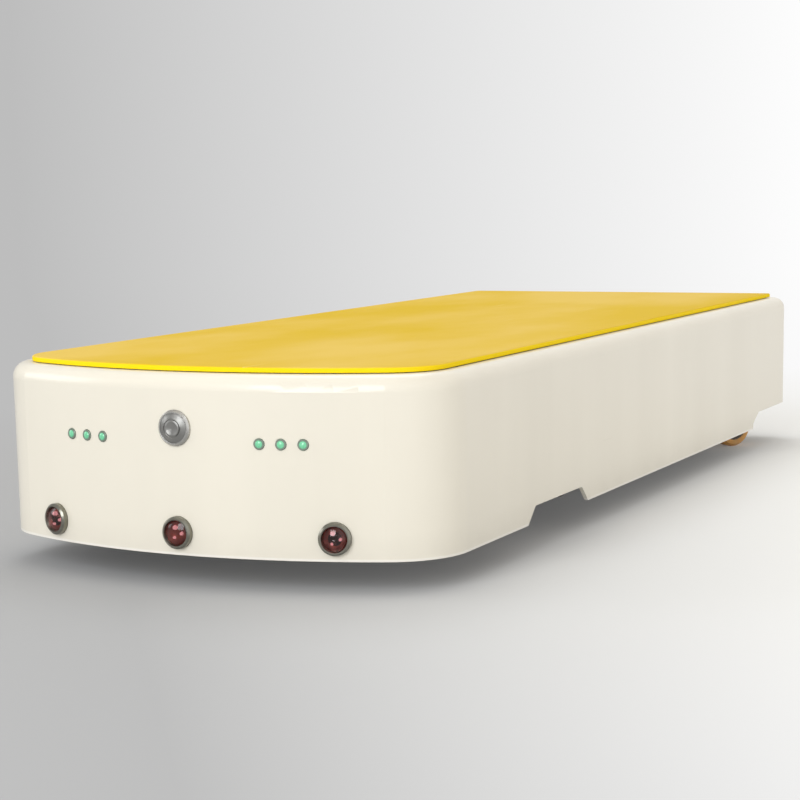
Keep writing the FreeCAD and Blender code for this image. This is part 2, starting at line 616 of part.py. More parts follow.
def caster_wheel():
    """Dark core with a bore and dished sides, and the soft tread that is cast round it."""
    half = CASTER_CORE_W / 2
    bore_r = CASTER_AXLE_R + RUN
    core = turned([(bore_r, -half), (10, -half), (12, -half + 4), (CASTER_CORE_R - 5, -half + 4),
                   (CASTER_CORE_R - 3, -half), (CASTER_CORE_R, -half), (CASTER_CORE_R, half),
                   (CASTER_CORE_R - 3, half), (CASTER_CORE_R - 5, half - 4), (12, half - 4), (10, half),
                   (bore_r, half)])
    wide = CASTER_TREAD_W / 2
    inner = CASTER_CORE_R + RUN
    tread = turned([(inner, -half), (inner + 2, -wide), (CASTER_R - 4, -wide), (CASTER_R, -wide + 5),
                    (CASTER_R, wide - 5), (CASTER_R - 4, wide), (inner + 2, wide), (inner, half)])
    place = Vec(0, CASTER_TRAIL, CASTER_R)
    return [seated(piece, place, X_AXIS) for piece in (core, tread)]


def caster_parts():
    """Four swivel casters under the rails, each at its own resting angle."""
    fork, axle = caster_fork(), caster_axle()
    core, tread = caster_wheel()
    plates, bolts = [], []
    upper_race_z = RACE_Z + CASTER_RACE_H * 0.5 + SEAT
    half_x, half_y = RAIL_W / 2, CASTER_PLATE_L / 2
    plate = block(-half_x, half_x, -half_y, half_y, PLATE_Z, RAIL_Z)
    plate = plate.fuse(Part.makeCylinder(CASTER_RACE_R, PLATE_Z - upper_race_z, Vec(0, 0, upper_race_z)))
    for end, (x, y) in CASTER_PLACES.items():
        for side, sign in SIDES.items():
            centre = Vec(sign * x, y, 0)
            turn = FreeCAD.Rotation(Z_AXIS, -sign * CASTER_YAW[(end, side)])
            where = FreeCAD.Placement(centre, turn)
            for name, shapes in (("fork", [fork, axle]), ("core", [core]), ("tread", [tread])):
                moved = [shape.copy() for shape in shapes]
                for shape in moved:
                    shape.Placement = where.multiply(shape.Placement)
                save("caster_%s_%s_%s" % (name, end, side), *moved)
            plates.append(plate.translated(centre))
            for dx in (CASTER_BOLT_INSET - half_x, half_x - CASTER_BOLT_INSET):
                for dy in (CASTER_BOLT_INSET - half_y, half_y - CASTER_BOLT_INSET):
                    bolts.append(hexagon(2 * CASTER_BOLT_R, PLATE_Z - 4, PLATE_Z).translated(centre + Vec(dx, dy, 0)))
    save("caster_plates", *plates)
    save("caster_bolts", *bolts)


# ---- drive modules ----------------------------------------------------------------------------
def drive_arm():
    """Swing arm of the left module: pivot eye, gearbox hub and spring pad."""
    x0, x1 = ARM_INNER_X, ARM_OUTER_X
    low, high = DRIVE_R - ARM_BAR_H / 2, DRIVE_R + ARM_BAR_H / 2
    bar = block(x0, x1, ARM_SPRING_Y - SPRING_PAD / 2, ARM_PIVOT_Y, low, high)
    bar = bar.makeFillet(ARM_BAR_H / 3, [e for e in bar.Edges if abs(e.tangentAt(e.FirstParameter).x) > 0.9
                                         and e.CenterOfMass.y < 0])
    hub = rod(ARM_HUB_R, Vec(x0, 0, DRIVE_R), Vec(x1, 0, DRIVE_R))
    eye = rod(ARM_EYE_R, Vec(x0, ARM_PIVOT_Y, DRIVE_R), Vec(x1, ARM_PIVOT_Y, DRIVE_R))
    bar = bar.cut(block(x0, x1, ARM_PIVOT_Y, ARM_PIVOT_Y + ARM_BAR_H, low, high))
    pad = block(ARM_MID_X - SPRING_PAD / 2, ARM_MID_X + SPRING_PAD / 2,
                ARM_SPRING_Y - SPRING_PAD / 2, ARM_SPRING_Y + SPRING_PAD / 2, high, PAD_TOP)
    post = Part.makeCylinder(SPRING_CORE_R - 1, SPRING_POST, Vec(ARM_MID_X, ARM_SPRING_Y, PAD_TOP))
    arm = bar.fuse([hub, eye, pad, post])
    arm = arm.cut(rod(DRIVE_SHAFT_R + 4, Vec(x0 - 1, 0, DRIVE_R), Vec(x1 + 1, 0, DRIVE_R)))
    arm = arm.cut(rod(ARM_PIN_R + RUN, Vec(x0 - 1, ARM_PIVOT_Y, DRIVE_R), Vec(x1 + 1, ARM_PIVOT_Y, DRIVE_R)))
    return arm.removeSplitter()


def drive_wheel():
    """Spoked-web rim with a boss, and its cast tread, for the left module."""
    half = DRIVE_TREAD_W / 2
    rim_r = DRIVE_R - DRIVE_TREAD_T
    web = DRIVE_WEB_T / 2
    bore_r = DRIVE_SHAFT_R + RUN
    rim = turned([(bore_r, -half), (DRIVE_BOSS_R, -half), (DRIVE_BOSS_R, -web), (rim_r - DRIVE_RIM_T, -web),
                  (rim_r - DRIVE_RIM_T, -half), (rim_r, -half), (rim_r, half), (rim_r - DRIVE_RIM_T, half),
                  (rim_r - DRIVE_RIM_T, web), (DRIVE_BOSS_R, web), (DRIVE_BOSS_R, half - 6), (bore_r, half - 6)])
    ring_r = (DRIVE_BOSS_R + rim_r - DRIVE_RIM_T) / 2
    for k in range(DRIVE_WEB_HOLES):
        angle = 2 * math.pi * k / DRIVE_WEB_HOLES
        at = Vec(ring_r * math.cos(angle), ring_r * math.sin(angle), -DRIVE_WEB_T)
        rim = rim.cut(Part.makeCylinder(DRIVE_WEB_HOLE_R, 2 * DRIVE_WEB_T, at))
    bevel = DRIVE_TREAD_BEVEL
    tread = turned([(rim_r + RUN, -half), (DRIVE_R - bevel, -half), (DRIVE_R, -half + bevel),
                    (DRIVE_R, half - bevel), (DRIVE_R - bevel, half), (rim_r + RUN, half)])
    centre = Vec(DRIVE_WHEEL_X, 0, DRIVE_R)
    return [seated(piece, centre, X_AXIS) for piece in (rim, tread)]


def drive_parts():
    """Both drive modules: arm, gearbox, motor, shaft, wheel, pivot pin, spring and their brackets."""
    arm = drive_arm()
    rim, tread = drive_wheel()
    axis = Vec(0, 0, DRIVE_R)
    shaft_in = ARM_INNER_X - DRIVE_SHAFT_GRIP
    wheel_outer = DRIVE_WHEEL_X + DRIVE_TREAD_W / 2
    shaft = rod(DRIVE_SHAFT_R, axis + X_AXIS * shaft_in, axis + X_AXIS * (wheel_outer - 6))
    shaft = shaft.fuse(rod(DRIVE_SHAFT_R + 5, axis + X_AXIS * (wheel_outer - 6), axis + X_AXIS * (wheel_outer - 2)))
    gearbox = rod(GEARBOX_R, axis + X_AXIS * GEARBOX_INNER_X, axis + X_AXIS * ARM_INNER_X)
    gearbox = gearbox.cut(rod(DRIVE_SHAFT_R + RUN, axis + X_AXIS * (shaft_in - 1), axis + X_AXIS * (ARM_INNER_X + 1)))
    motor = rod(MOTOR_R, axis + X_AXIS * (GEARBOX_INNER_X - MOTOR_LENGTH), axis + X_AXIS * GEARBOX_INNER_X)
    plug_x = GEARBOX_INNER_X - MOTOR_LENGTH
    motor = motor.fuse(block(plug_x, plug_x + 16, -11, 11, DRIVE_R, DRIVE_R + MOTOR_R + 8))

    pivot = Vec(0, ARM_PIVOT_Y, DRIVE_R)
    ear_outer = ARM_OUTER_X + EAR_GAP + EAR_T
    ear_inner = ARM_INNER_X - EAR_GAP - EAR_T
    pin = rod(ARM_PIN_R, pivot + X_AXIS * (ear_inner - 2), pivot + X_AXIS * (ear_outer + 2))
    plate = block(ear_inner, RAIL_OUTER_X, ARM_PIVOT_Y - ARM_EYE_R, ARM_PIVOT_Y + ARM_EYE_R,
                  RAIL_TOP, RAIL_TOP + TOP_PLATE_T)
    bracket = plate
    for x in (ear_inner, ear_outer - EAR_T):
        bracket = bracket.fuse(block(x, x + EAR_T, ARM_PIVOT_Y - ARM_EYE_R, ARM_PIVOT_Y + ARM_EYE_R, DRIVE_R, RAIL_TOP))
        bracket = bracket.fuse(rod(ARM_EYE_R, pivot + X_AXIS * x, pivot + X_AXIS * (x + EAR_T)))
    bracket = bracket.cut(rod(ARM_PIN_R + RUN, pivot + X_AXIS * (ear_inner - 5), pivot + X_AXIS * (ear_outer + 5)))

    seat = block(ARM_MID_X - SPRING_PAD / 2, RAIL_OUTER_X, ARM_SPRING_Y - SPRING_PAD / 2,
                 ARM_SPRING_Y + SPRING_PAD / 2, RAIL_TOP, RAIL_TOP + TOP_PLATE_T)
    seat = seat.fuse(Part.makeCylinder(SPRING_CORE_R - 1, SPRING_POST,
                                       Vec(ARM_MID_X, ARM_SPRING_Y, RAIL_TOP - SPRING_POST)))
    brackets = [bracket.removeSplitter(), seat.removeSplitter()]
    spring = buffer_spring(PAD_TOP, RAIL_TOP)
    for side in SIDES:
        for name, pieces in (("arm", [arm]), ("gearmotor", [gearbox, motor]), ("rim", [rim, shaft]),
                             ("tread", [tread]), ("spring", [spring])):
            save("drive_%s_%s" % (name, side), *[on_side(piece, side) for piece in pieces])
    save("drive_pivot_pins", pin, mirrored(pin))
    save("drive_brackets", *[on_side(piece, side) for side in SIDES for piece in brackets])


def buffer_spring(z0, z1):
    """Hollow rubber spring of rounded rings between two seats, at its place in the left module."""
    ring_h = (z1 - z0) / SPRING_RINGS
    neck_r = SPRING_R - 4
    edges = []
    for k in range(SPRING_RINGS):
        low = z0 + k * ring_h
        edges.append(Part.Arc(Vec(neck_r, 0, low), Vec(SPRING_R, 0, low + ring_h / 2),
                              Vec(neck_r, 0, low + ring_h)).toShape())
    corners = [Vec(neck_r, 0, z1), Vec(SPRING_CORE_R, 0, z1), Vec(SPRING_CORE_R, 0, z0), Vec(neck_r, 0, z0)]
    edges += [Part.makeLine(a, b) for a, b in zip(corners, corners[1:])]
    spring = Part.Face(Part.Wire(edges)).revolve(Vec(0, 0, 0), Z_AXIS, 360)
    return spring.translated(Vec(ARM_MID_X, ARM_SPRING_Y, 0))


# ---- deck and lift ----------------------------------------------------------------------------
def deck_parts():
    """Yellow deck plate, the tube frame under it and the four rams that carry it."""
    plate = plan_slab(DECK_INSET, DECK_Z, DECK_Z + DECK_THICKNESS)
    plate = plate.makeFillet(DECK_EDGE_R, edges_at(plate, DECK_Z + DECK_THICKNESS))
    save("deck_plate", plate)
    front, rear = CROSS_YS[0] + CROSS_W, CROSS_YS[3] + CROSS_W
    tubes = [square_tube(DECK_TUBE_W, DECK_TUBE_H, DECK_TUBE_WALL, Vec(side * DECK_TUBE_X, front, DECK_TUBE_Z),
                         Vec(side * DECK_TUBE_X, rear, DECK_TUBE_Z)) for side in (-1, 1)]
    inner_x = DECK_TUBE_X - DECK_TUBE_W / 2
    for y in (front + DECK_TUBE_W / 2, -COLUMN_Y, COLUMN_Y, rear - DECK_TUBE_W / 2):
        tubes.append(square_tube(DECK_TUBE_W, DECK_TUBE_H, DECK_TUBE_WALL,
                                 Vec(-inner_x, y, DECK_TUBE_Z), Vec(inner_x, y, DECK_TUBE_Z)))
    save("deck_frame_tubes", *tubes)
    ram = Part.makeCylinder(RAM_R, DECK_TUBE_Z - COLUMN_TOP + RAM_BURIED, Vec(0, 0, COLUMN_TOP - RAM_BURIED))
    save("lift_rams", *[ram.translated(place) for place in column_places()])


def column_places():
    """Plan positions of the four lift columns."""
    return [Vec(sx * COLUMN_X, sy * COLUMN_Y, 0) for sx in (-1, 1) for sy in (-1, 1)]


def lift_parts():
    """Four lift columns with their gear cases, guide bushes and motors."""
    half = COLUMN_SIZE / 2
    bore_r = RAM_R + RUN + BUSH_WALL
    columns, bushes, motors = [], [], []
    for place in column_places():
        inward = -1 if place.x > 0 else 1
        column = block(place.x - half, place.x + half, place.y - half, place.y + half, PAN_TOP, COLUMN_TOP)
        case_end = place.x + inward * (half + 2 * LIFT_MOTOR_R + 4)
        case = block(place.x, case_end, place.y - half, place.y + half, PAN_TOP, PAN_TOP + GEARCASE_H)
        depth = RAM_BURIED + 15
        bore = Part.makeCylinder(bore_r, depth + 1, place + Z_AXIS * (COLUMN_TOP - depth))
        columns.append(column.fuse(case).cut(bore).removeSplitter())
        bush = Part.makeCylinder(bore_r - RUN, BUSH_LENGTH, place + Z_AXIS * (COLUMN_TOP - BUSH_LENGTH))
        bushes.append(bush.cut(Part.makeCylinder(RAM_R + RUN, 2 * BUSH_LENGTH,
                                                 place + Z_AXIS * (COLUMN_TOP - 1.5 * BUSH_LENGTH))))
        motor_at = place + X_AXIS * inward * (half + LIFT_MOTOR_R + 2)
        motors.append(Part.makeCylinder(LIFT_MOTOR_R, LIFT_MOTOR_LENGTH, motor_at + Z_AXIS * (PAN_TOP + GEARCASE_H)))
    save("lift_columns", *columns)
    save("lift_bushes", *bushes)
    save("lift_motors", *motors)


# ---- battery and controls ---------------------------------------------------------------------
def battery_parts():
    """Battery between the two front cross members, with its lid and terminals."""
    front = CROSS_YS[0] + CROSS_W / 2 + BATTERY_GAP
    rear = CROSS_YS[1] - CROSS_W / 2 - BATTERY_GAP
    half = BATTERY_W / 2
    foot = RAIL_Z + FLOOR_T
    top = foot + BATTERY_H
    case = block(-half, half, front, rear, foot, top)
    case = case.makeFillet(BATTERY_CORNER_R, edges_along_z(case))
    lid = block(-half, half, front, rear, top, top + BATTERY_LID_T)
    lid = lid.makeFillet(BATTERY_CORNER_R, edges_along_z(lid))
    terminals = [Part.makeCylinder(TERMINAL_R, TERMINAL_H, Vec(side * TERMINAL_X, rear - TERMINAL_INSET, top + BATTERY_LID_T))
                 for side in (-1, 1)]
    save("battery_case", case)
    save("battery_lid", lid)
    save("battery_terminals", *terminals)


def control_parts():
    """Control box and two finned motor drivers behind the rear lift columns."""
    front = CROSS_YS[2] + CROSS_W / 2 + SWING
    half = CONTROL_W / 2
    top = PAN_TOP + CONTROL_H
    box = block(-half, half, front, front + CONTROL_LENGTH, PAN_TOP, top)
    save("control_box", box)
    drivers = []
    y0 = front + (CONTROL_LENGTH - DRIVER_LENGTH) / 2
    for side in (-1, 1):
        x_mid = side * CONTROL_W / 4
        driver = block(x_mid - DRIVER_W / 2, x_mid + DRIVER_W / 2, y0, y0 + DRIVER_LENGTH, top, top + DRIVER_BASE_H)
        for k in range(FIN_COUNT):
            x = x_mid - DRIVER_W / 2 + k * (DRIVER_W - FIN_T) / (FIN_COUNT - 1)
            driver = driver.fuse(block(x, x + FIN_T, y0, y0 + DRIVER_LENGTH, top + DRIVER_BASE_H,
                                       top + DRIVER_BASE_H + FIN_H))
        drivers.append(driver.removeSplitter())
    save("motor_drivers", *drivers)
    half = READER_SIZE / 2
    reader = block(-half, half, READER_Y - half, READER_Y + half, PAN_Z - READER_H, PAN_Z)
    glass_z = PAN_Z - READER_H
    reader = reader.cut(Part.makeCylinder(READER_WINDOW_R + RUN, 4, Vec(0, READER_Y, glass_z)))
    save("floor_reader", reader)
    save("floor_reader_window", Part.makeCylinder(READER_WINDOW_R, 3, Vec(0, READER_Y, glass_z + 1)))


# ---- tail fittings ----------------------------------------------------------------------------
def tail_parts():
    """Emergency stop, power switch and charging contacts on the tail wall."""
    collar = turned([(ESTOP_BODY_R, 0), (ESTOP_COLLAR_R, 0), (ESTOP_COLLAR_R - 1, ESTOP_COLLAR_T),
                     (ESTOP_BODY_R, ESTOP_COLLAR_T)])
    sleeve_r = ESTOP_BODY_R - RUN
    bore_r = ESTOP_STEM_R + RUN
    sleeve = turned([(bore_r, -ESTOP_BODY_LENGTH), (sleeve_r, -ESTOP_BODY_LENGTH),
                     (sleeve_r, ESTOP_COLLAR_T), (bore_r, ESTOP_COLLAR_T)])
    cap_foot = ESTOP_PROUD - ESTOP_CAP_H
    stem_foot = ESTOP_TRAVEL + 2 - ESTOP_BODY_LENGTH
    stem = Part.makeCylinder(ESTOP_STEM_R, cap_foot - stem_foot, Vec(0, 0, stem_foot))
    cap = domed(ESTOP_CAP_R, cap_foot, cap_foot + ESTOP_CAP_H * 0.6, ESTOP_PROUD)
    save("estop_collar", on_tail(collar, ESTOP_X))
    save("estop_button", on_tail(cap.fuse(stem), ESTOP_X))

    grip_w = KNOB_R * 0.6
    grip_l = KNOB_R * 1.8
    flange_t = 4.0
    knob = Part.makeCylinder(KNOB_R, flange_t, Vec(0, 0, SEAT))
    knob = knob.fuse(block(-grip_w / 2, grip_w / 2, -grip_l / 2, grip_l / 2, SEAT, KNOB_H))
    save("power_knob", on_tail(knob.removeSplitter(), KNOB_X))
    body = Part.makeCylinder(KNOB_BODY_R, KNOB_BODY_LENGTH, Vec(0, 0, -KNOB_BODY_LENGTH))
    save("tail_switch_bodies", on_tail(sleeve, ESTOP_X), on_tail(body, KNOB_X))

    half_w, half_h = CONTACT_BLOCK_W / 2, CONTACT_BLOCK_H / 2
    carrier = block(-half_w, half_w, -half_h, half_h, 0, CONTACT_BLOCK_T)
    carrier = carrier.makeFillet(CONTACT_CORNER_R, [e for e in carrier.Edges if e.CenterOfMass.z > 1])
    strips = [block(CONTACT_STRIP_INSET - half_w, half_w - CONTACT_STRIP_INSET, side * half_h / 2 - CONTACT_STRIP_H / 2,
                    side * half_h / 2 + CONTACT_STRIP_H / 2, CONTACT_BLOCK_T, CONTACT_BLOCK_T + CONTACT_STRIP_T)
              for side in (-1, 1)]
    save("charge_contact_block", on_tail(carrier, CONTACT_X))
    save("charge_contacts", *[on_tail(strip, CONTACT_X) for strip in strips])


def main():
    """Builds every node."""
    os.makedirs("parts", exist_ok=True)
    save("body_shell", body_shell())
    save("deck_seat_ring", seat_ring())
    save("nose_fitting_bodies", *(sensor_parts() + lamp_parts() + button_parts()))
    chassis_parts()
    caster_parts()
    drive_parts()
    deck_parts()
    lift_parts()
    battery_parts()
    control_parts()
    tail_parts()


main()
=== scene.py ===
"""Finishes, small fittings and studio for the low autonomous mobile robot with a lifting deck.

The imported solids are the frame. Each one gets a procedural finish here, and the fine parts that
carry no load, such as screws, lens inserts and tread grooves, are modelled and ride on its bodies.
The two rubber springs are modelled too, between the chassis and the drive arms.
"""

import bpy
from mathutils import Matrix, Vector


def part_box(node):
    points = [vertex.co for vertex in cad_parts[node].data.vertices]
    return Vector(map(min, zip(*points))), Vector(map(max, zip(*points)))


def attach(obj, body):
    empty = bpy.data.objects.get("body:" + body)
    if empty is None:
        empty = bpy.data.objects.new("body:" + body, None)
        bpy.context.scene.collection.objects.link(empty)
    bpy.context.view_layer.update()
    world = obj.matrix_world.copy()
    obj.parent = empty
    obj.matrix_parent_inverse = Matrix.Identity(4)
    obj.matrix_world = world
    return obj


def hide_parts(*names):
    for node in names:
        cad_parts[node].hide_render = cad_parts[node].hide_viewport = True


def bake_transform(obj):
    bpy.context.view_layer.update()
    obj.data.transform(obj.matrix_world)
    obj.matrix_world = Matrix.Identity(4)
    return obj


bl_info = {
    "name": "Lifting Deck Robot",
    "version": (1, 0, 0),
    "blender": (4, 5, 0),
    "location": "View3D > Sidebar > Robot",
    "description": "Dresses the packed solids of a low mobile robot with a lifting deck",
    "category": "Object",
}

import math

import bmesh
import bpy
from mathutils import Matrix, Vector

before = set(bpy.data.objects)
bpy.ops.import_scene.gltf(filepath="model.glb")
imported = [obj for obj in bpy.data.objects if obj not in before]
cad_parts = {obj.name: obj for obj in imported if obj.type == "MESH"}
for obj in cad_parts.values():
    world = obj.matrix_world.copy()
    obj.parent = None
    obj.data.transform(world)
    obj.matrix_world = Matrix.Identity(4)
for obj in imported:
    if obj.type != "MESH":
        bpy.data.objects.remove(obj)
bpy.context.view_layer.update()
ENDS = ("front", "rear")
SIDES = ("left", "right")
UP = Vector((0, 0, 1))
DOWN = Vector((0, 0, -1))
TAILWARD = Vector((0, 1, 0))
WELD = 1e-6
SHARP_ANGLE = math.radians(35)
COAT_ROUGHNESS = 0.06
CLEAR_PLASTIC_IOR = 1.49


def centre_of(node):
    """Middle of a node's box."""
    low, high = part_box(node)
    return (Vector(low) + Vector(high)) / 2


def solids_of(node):
    """Box of each separate solid of a node, from low X to high X."""
    bm = bmesh.new()
    bm.from_mesh(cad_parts[node].data)
    bmesh.ops.remove_doubles(bm, verts=bm.verts, dist=WELD)
    left = set(bm.verts)
    boxes = []
    while left:
        seen, queue = set(), [left.pop()]
        while queue:
            vert = queue.pop()
            seen.add(vert)
            fresh = [edge.other_vert(vert) for edge in vert.link_edges]
            queue += [other for other in fresh if other in left]
            left.difference_update(fresh)
        spans = [(min(v.co[k] for v in seen), max(v.co[k] for v in seen)) for k in range(3)]
        boxes.append((Vector([span[0] for span in spans]), Vector([span[1] for span in spans])))
    bm.free()
    return sorted(boxes, key=lambda box: box[0].x + box[1].x)


# ---- shader groups ------------------------------------------------------------------------------
def new_group(name, inputs, outputs):
    """Empty shader group with its sockets; returns the tree, its inputs and its outputs."""
    tree = bpy.data.node_groups.new(name, "ShaderNodeTree")
    kinds = {"f": "NodeSocketFloat", "c": "NodeSocketColor", "v": "NodeSocketVector"}
    for label, kind, default in inputs:
        socket = tree.interface.new_socket(name=label, in_out="INPUT", socket_type=kinds[kind])
        socket.default_value = default
    for label, kind in outputs:
        tree.interface.new_socket(name=label, in_out="OUTPUT", socket_type=kinds[kind])
    return tree, tree.nodes.new("NodeGroupInput"), tree.nodes.new("NodeGroupOutput")


def math_node(tree, operation, a, b=None, clamp=False):
    """Math node with its first inputs joined or set."""
    node = tree.nodes.new("ShaderNodeMath")
    node.operation = operation
    node.use_clamp = clamp
    for socket, value in zip(node.inputs, (a, b)):
        if value is None:
            continue
        if isinstance(value, (int, float)):
            socket.default_value = value
        else:
            tree.links.new(value, socket)
    return node.outputs[0]


def noise(tree, vector, scale, detail=3.0):
    """Noise factor at a scale."""
    node = tree.nodes.new("ShaderNodeTexNoise")
    node.inputs["Detail"].default_value = detail
    tree.links.new(vector, node.inputs["Vector"])
    if isinstance(scale, (int, float)):
        node.inputs["Scale"].default_value = scale
    else:
        tree.links.new(scale, node.inputs["Scale"])
    return node.outputs["Fac"]


def stretched(tree, vector, factors):
    """A vector scaled by separate factors along X, Y and Z."""
    node = tree.nodes.new("ShaderNodeVectorMath")
    node.operation = "MULTIPLY"
    tree.links.new(vector, node.inputs[0])
    if isinstance(factors, tuple):
        node.inputs[1].default_value = factors
    else:
        tree.links.new(factors, node.inputs[1])
    return node.outputs[0]


def mix_colour(tree, factor, a, b):
    """Colour mix of two sockets or constants."""
    node = tree.nodes.new("ShaderNodeMix")
    node.data_type = "RGBA"
    tree.links.new(factor, node.inputs[0])
    for socket, value in ((node.inputs[6], a), (node.inputs[7], b)):
        if isinstance(value, tuple):
            socket.default_value = value
        else:
            tree.links.new(value, socket)
    return node.outputs[2]


def surface_group():
    """Patchy tone, roughness that follows it and a fine grain height."""
    tree, gin, gout = new_group(
        "Surface",
        [("Colour", "c", (0.5, 0.5, 0.5, 1)), ("Second Colour", "c", (0.4, 0.4, 0.4, 1)),
         ("Patch Scale", "f", 6.0), ("Patch Contrast", "f", 2.0), ("Stretch", "v", (1, 1, 1)),
         ("Roughness", "f", 0.4), ("Roughness Spread", "f", 0.1), ("Grain Scale", "f", 900.0)],
        [("Colour", "c"), ("Roughness", "f"), ("Height", "f")])
    where = tree.nodes.new("ShaderNodeTexCoord").outputs["Object"]
    space = stretched(tree, where, gin.outputs["Stretch"])
    patch = noise(tree, space, gin.outputs["Patch Scale"], detail=5.0)
    sharp = math_node(tree, "MULTIPLY", math_node(tree, "SUBTRACT", patch, 0.5),
                      gin.outputs["Patch Contrast"])
    factor = math_node(tree, "ADD", sharp, 0.5, clamp=True)
    colour = mix_colour(tree, factor, gin.outputs["Colour"], gin.outputs["Second Colour"])
    spread = math_node(tree, "MULTIPLY", math_node(tree, "SUBTRACT", factor, 0.5),
                       gin.outputs["Roughness Spread"])
    rough = math_node(tree, "ADD", gin.outputs["Roughness"], spread, clamp=True)
    grain = noise(tree, space, gin.outputs["Grain Scale"], detail=2.0)
    tree.links.new(colour, gout.inputs["Colour"])
    tree.links.new(rough, gout.inputs["Roughness"])
    tree.links.new(grain, gout.inputs["Height"])
    return tree


def dust_group():
    """Pale dust that settles low down and in patches."""
    dulling = 0.5
    tree, gin, gout = new_group(
        "Settled Dust",
        [("Colour", "c", (0.5, 0.5, 0.5, 1)), ("Roughness", "f", 0.4),
         ("Dust Colour", "c", (0.42, 0.39, 0.34, 1)), ("Amount", "f", 0.3), ("Top", "f", 0.12)],
        [("Colour", "c"), ("Roughness", "f")])
    where = tree.nodes.new("ShaderNodeTexCoord").outputs["Object"]
    split = tree.nodes.new("ShaderNodeSeparateXYZ")
    tree.links.new(where, split.inputs[0])
    height = math_node(tree, "DIVIDE", split.outputs["Z"], gin.outputs["Top"])
    low = math_node(tree, "SUBTRACT", 1.0, height, clamp=True)
    patch = math_node(tree, "MULTIPLY", noise(tree, where, scale=42.0, detail=6.0), low)
    amount = math_node(tree, "MULTIPLY", patch, gin.outputs["Amount"], clamp=True)
    colour = mix_colour(tree, amount, gin.outputs["Colour"], gin.outputs["Dust Colour"])
    duller = math_node(tree, "MULTIPLY", amount, dulling)
    rough = math_node(tree, "ADD", gin.outputs["Roughness"], duller, clamp=True)
    tree.links.new(colour, gout.inputs["Colour"])
    tree.links.new(rough, gout.inputs["Roughness"])
    return tree


def ring_group():
    """Height of fine turned rings round an axis along Y through a centre."""
    tree, gin, gout = new_group(
        "Turned Rings", [("Centre", "v", (0, 0, 0)), ("Pitch", "f", 0.0012)], [("Height", "f")])
    where = tree.nodes.new("ShaderNodeTexCoord").outputs["Object"]
    offset = tree.nodes.new("ShaderNodeVectorMath")
    offset.operation = "SUBTRACT"
    tree.links.new(where, offset.inputs[0])
    tree.links.new(gin.outputs["Centre"], offset.inputs[1])
    flat = stretched(tree, offset.outputs[0], (1.0, 0.0, 1.0))
    length = tree.nodes.new("ShaderNodeVectorMath")
    length.operation = "LENGTH"
    tree.links.new(flat, length.inputs[0])
    turns = math_node(tree, "DIVIDE", length.outputs["Value"], gin.outputs["Pitch"])
    wave = math_node(tree, "SINE", math_node(tree, "MULTIPLY", turns, 2 * math.pi))
    tree.links.new(wave, gout.inputs["Height"])
    return tree


def scuff_group():
    """Thin scratches along one direction, which change the colour and the roughness."""
    wobble_size, least_cover, crispness, dulling = 0.08, 0.45, 14.0, 0.3
    tree, gin, gout = new_group(
        "Scuffs",
        [("Colour", "c", (0.5, 0.5, 0.5, 1)), ("Roughness", "f", 0.4),
         ("Scuff Colour", "c", (0.6, 0.6, 0.6, 1)), ("Stretch", "v", (220, 6, 1)),
         ("Amount", "f", 0.3), ("Limit", "f", 0.66)],
        [("Colour", "c"), ("Roughness", "f")])
    where = tree.nodes.new("ShaderNodeTexCoord").outputs["Object"]
    bend = tree.nodes.new("ShaderNodeVectorMath")
    bend.operation = "MULTIPLY_ADD"
    wobble = tree.nodes.new("ShaderNodeTexNoise")
    wobble.inputs["Scale"].default_value = 3.0
    tree.links.new(where, wobble.inputs["Vector"])
    tree.links.new(wobble.outputs["Color"], bend.inputs[0])
    bend.inputs[1].default_value = (wobble_size,) * 3
    tree.links.new(where, bend.inputs[2])
    drawn = stretched(tree, bend.outputs[0], gin.outputs["Stretch"])
    fine = noise(tree, drawn, scale=1.0, detail=2.0)
    broad = noise(tree, where, scale=5.0, detail=3.0)
    strength = math_node(tree, "MULTIPLY", fine, math_node(tree, "ADD", broad, least_cover))
    over = math_node(tree, "SUBTRACT", strength, gin.outputs["Limit"])
    crisp = math_node(tree, "MULTIPLY", over, crispness, clamp=True)
    mask = math_node(tree, "MULTIPLY", crisp, gin.outputs["Amount"])
    colour = mix_colour(tree, mask, gin.outputs["Colour"], gin.outputs["Scuff Colour"])
    tree.links.new(colour, gout.inputs["Colour"])
    duller = math_node(tree, "MULTIPLY", mask, dulling)
    rough = math_node(tree, "ADD", gin.outputs["Roughness"], duller, clamp=True)
    tree.links.new(rough, gout.inputs["Roughness"])
    return tree


def band_group():
    """Changes the colour between two heights, softly at both ends."""
    tree, gin, gout = new_group(
        "Height Band",
        [("Colour", "c", (0.5, 0.5, 0.5, 1)), ("Band Colour", "c", (0.6, 0.6, 0.6, 1)),
         ("Low", "f", 0.0), ("High", "f", 0.01), ("Soft", "f", 0.001), ("Amount", "f", 1.0)],
        [("Colour", "c")])
    where = tree.nodes.new("ShaderNodeTexCoord").outputs["Object"]
    split = tree.nodes.new("ShaderNodeSeparateXYZ")
    tree.links.new(where, split.inputs[0])
    above = math_node(tree, "SUBTRACT", split.outputs["Z"], gin.outputs["Low"])
    below = math_node(tree, "SUBTRACT", gin.outputs["High"], split.outputs["Z"])
    rise = math_node(tree, "DIVIDE", above, gin.outputs["Soft"], clamp=True)
    fall = math_node(tree, "DIVIDE", below, gin.outputs["Soft"], clamp=True)
    inside = math_node(tree, "MULTIPLY", rise, fall)
    amount = math_node(tree, "MULTIPLY", inside, gin.outputs["Amount"])
    colour = mix_colour(tree, amount, gin.outputs["Colour"], gin.outputs["Band Colour"])
    tree.links.new(colour, gout.inputs["Colour"])
    return tree


GROUPS = {}


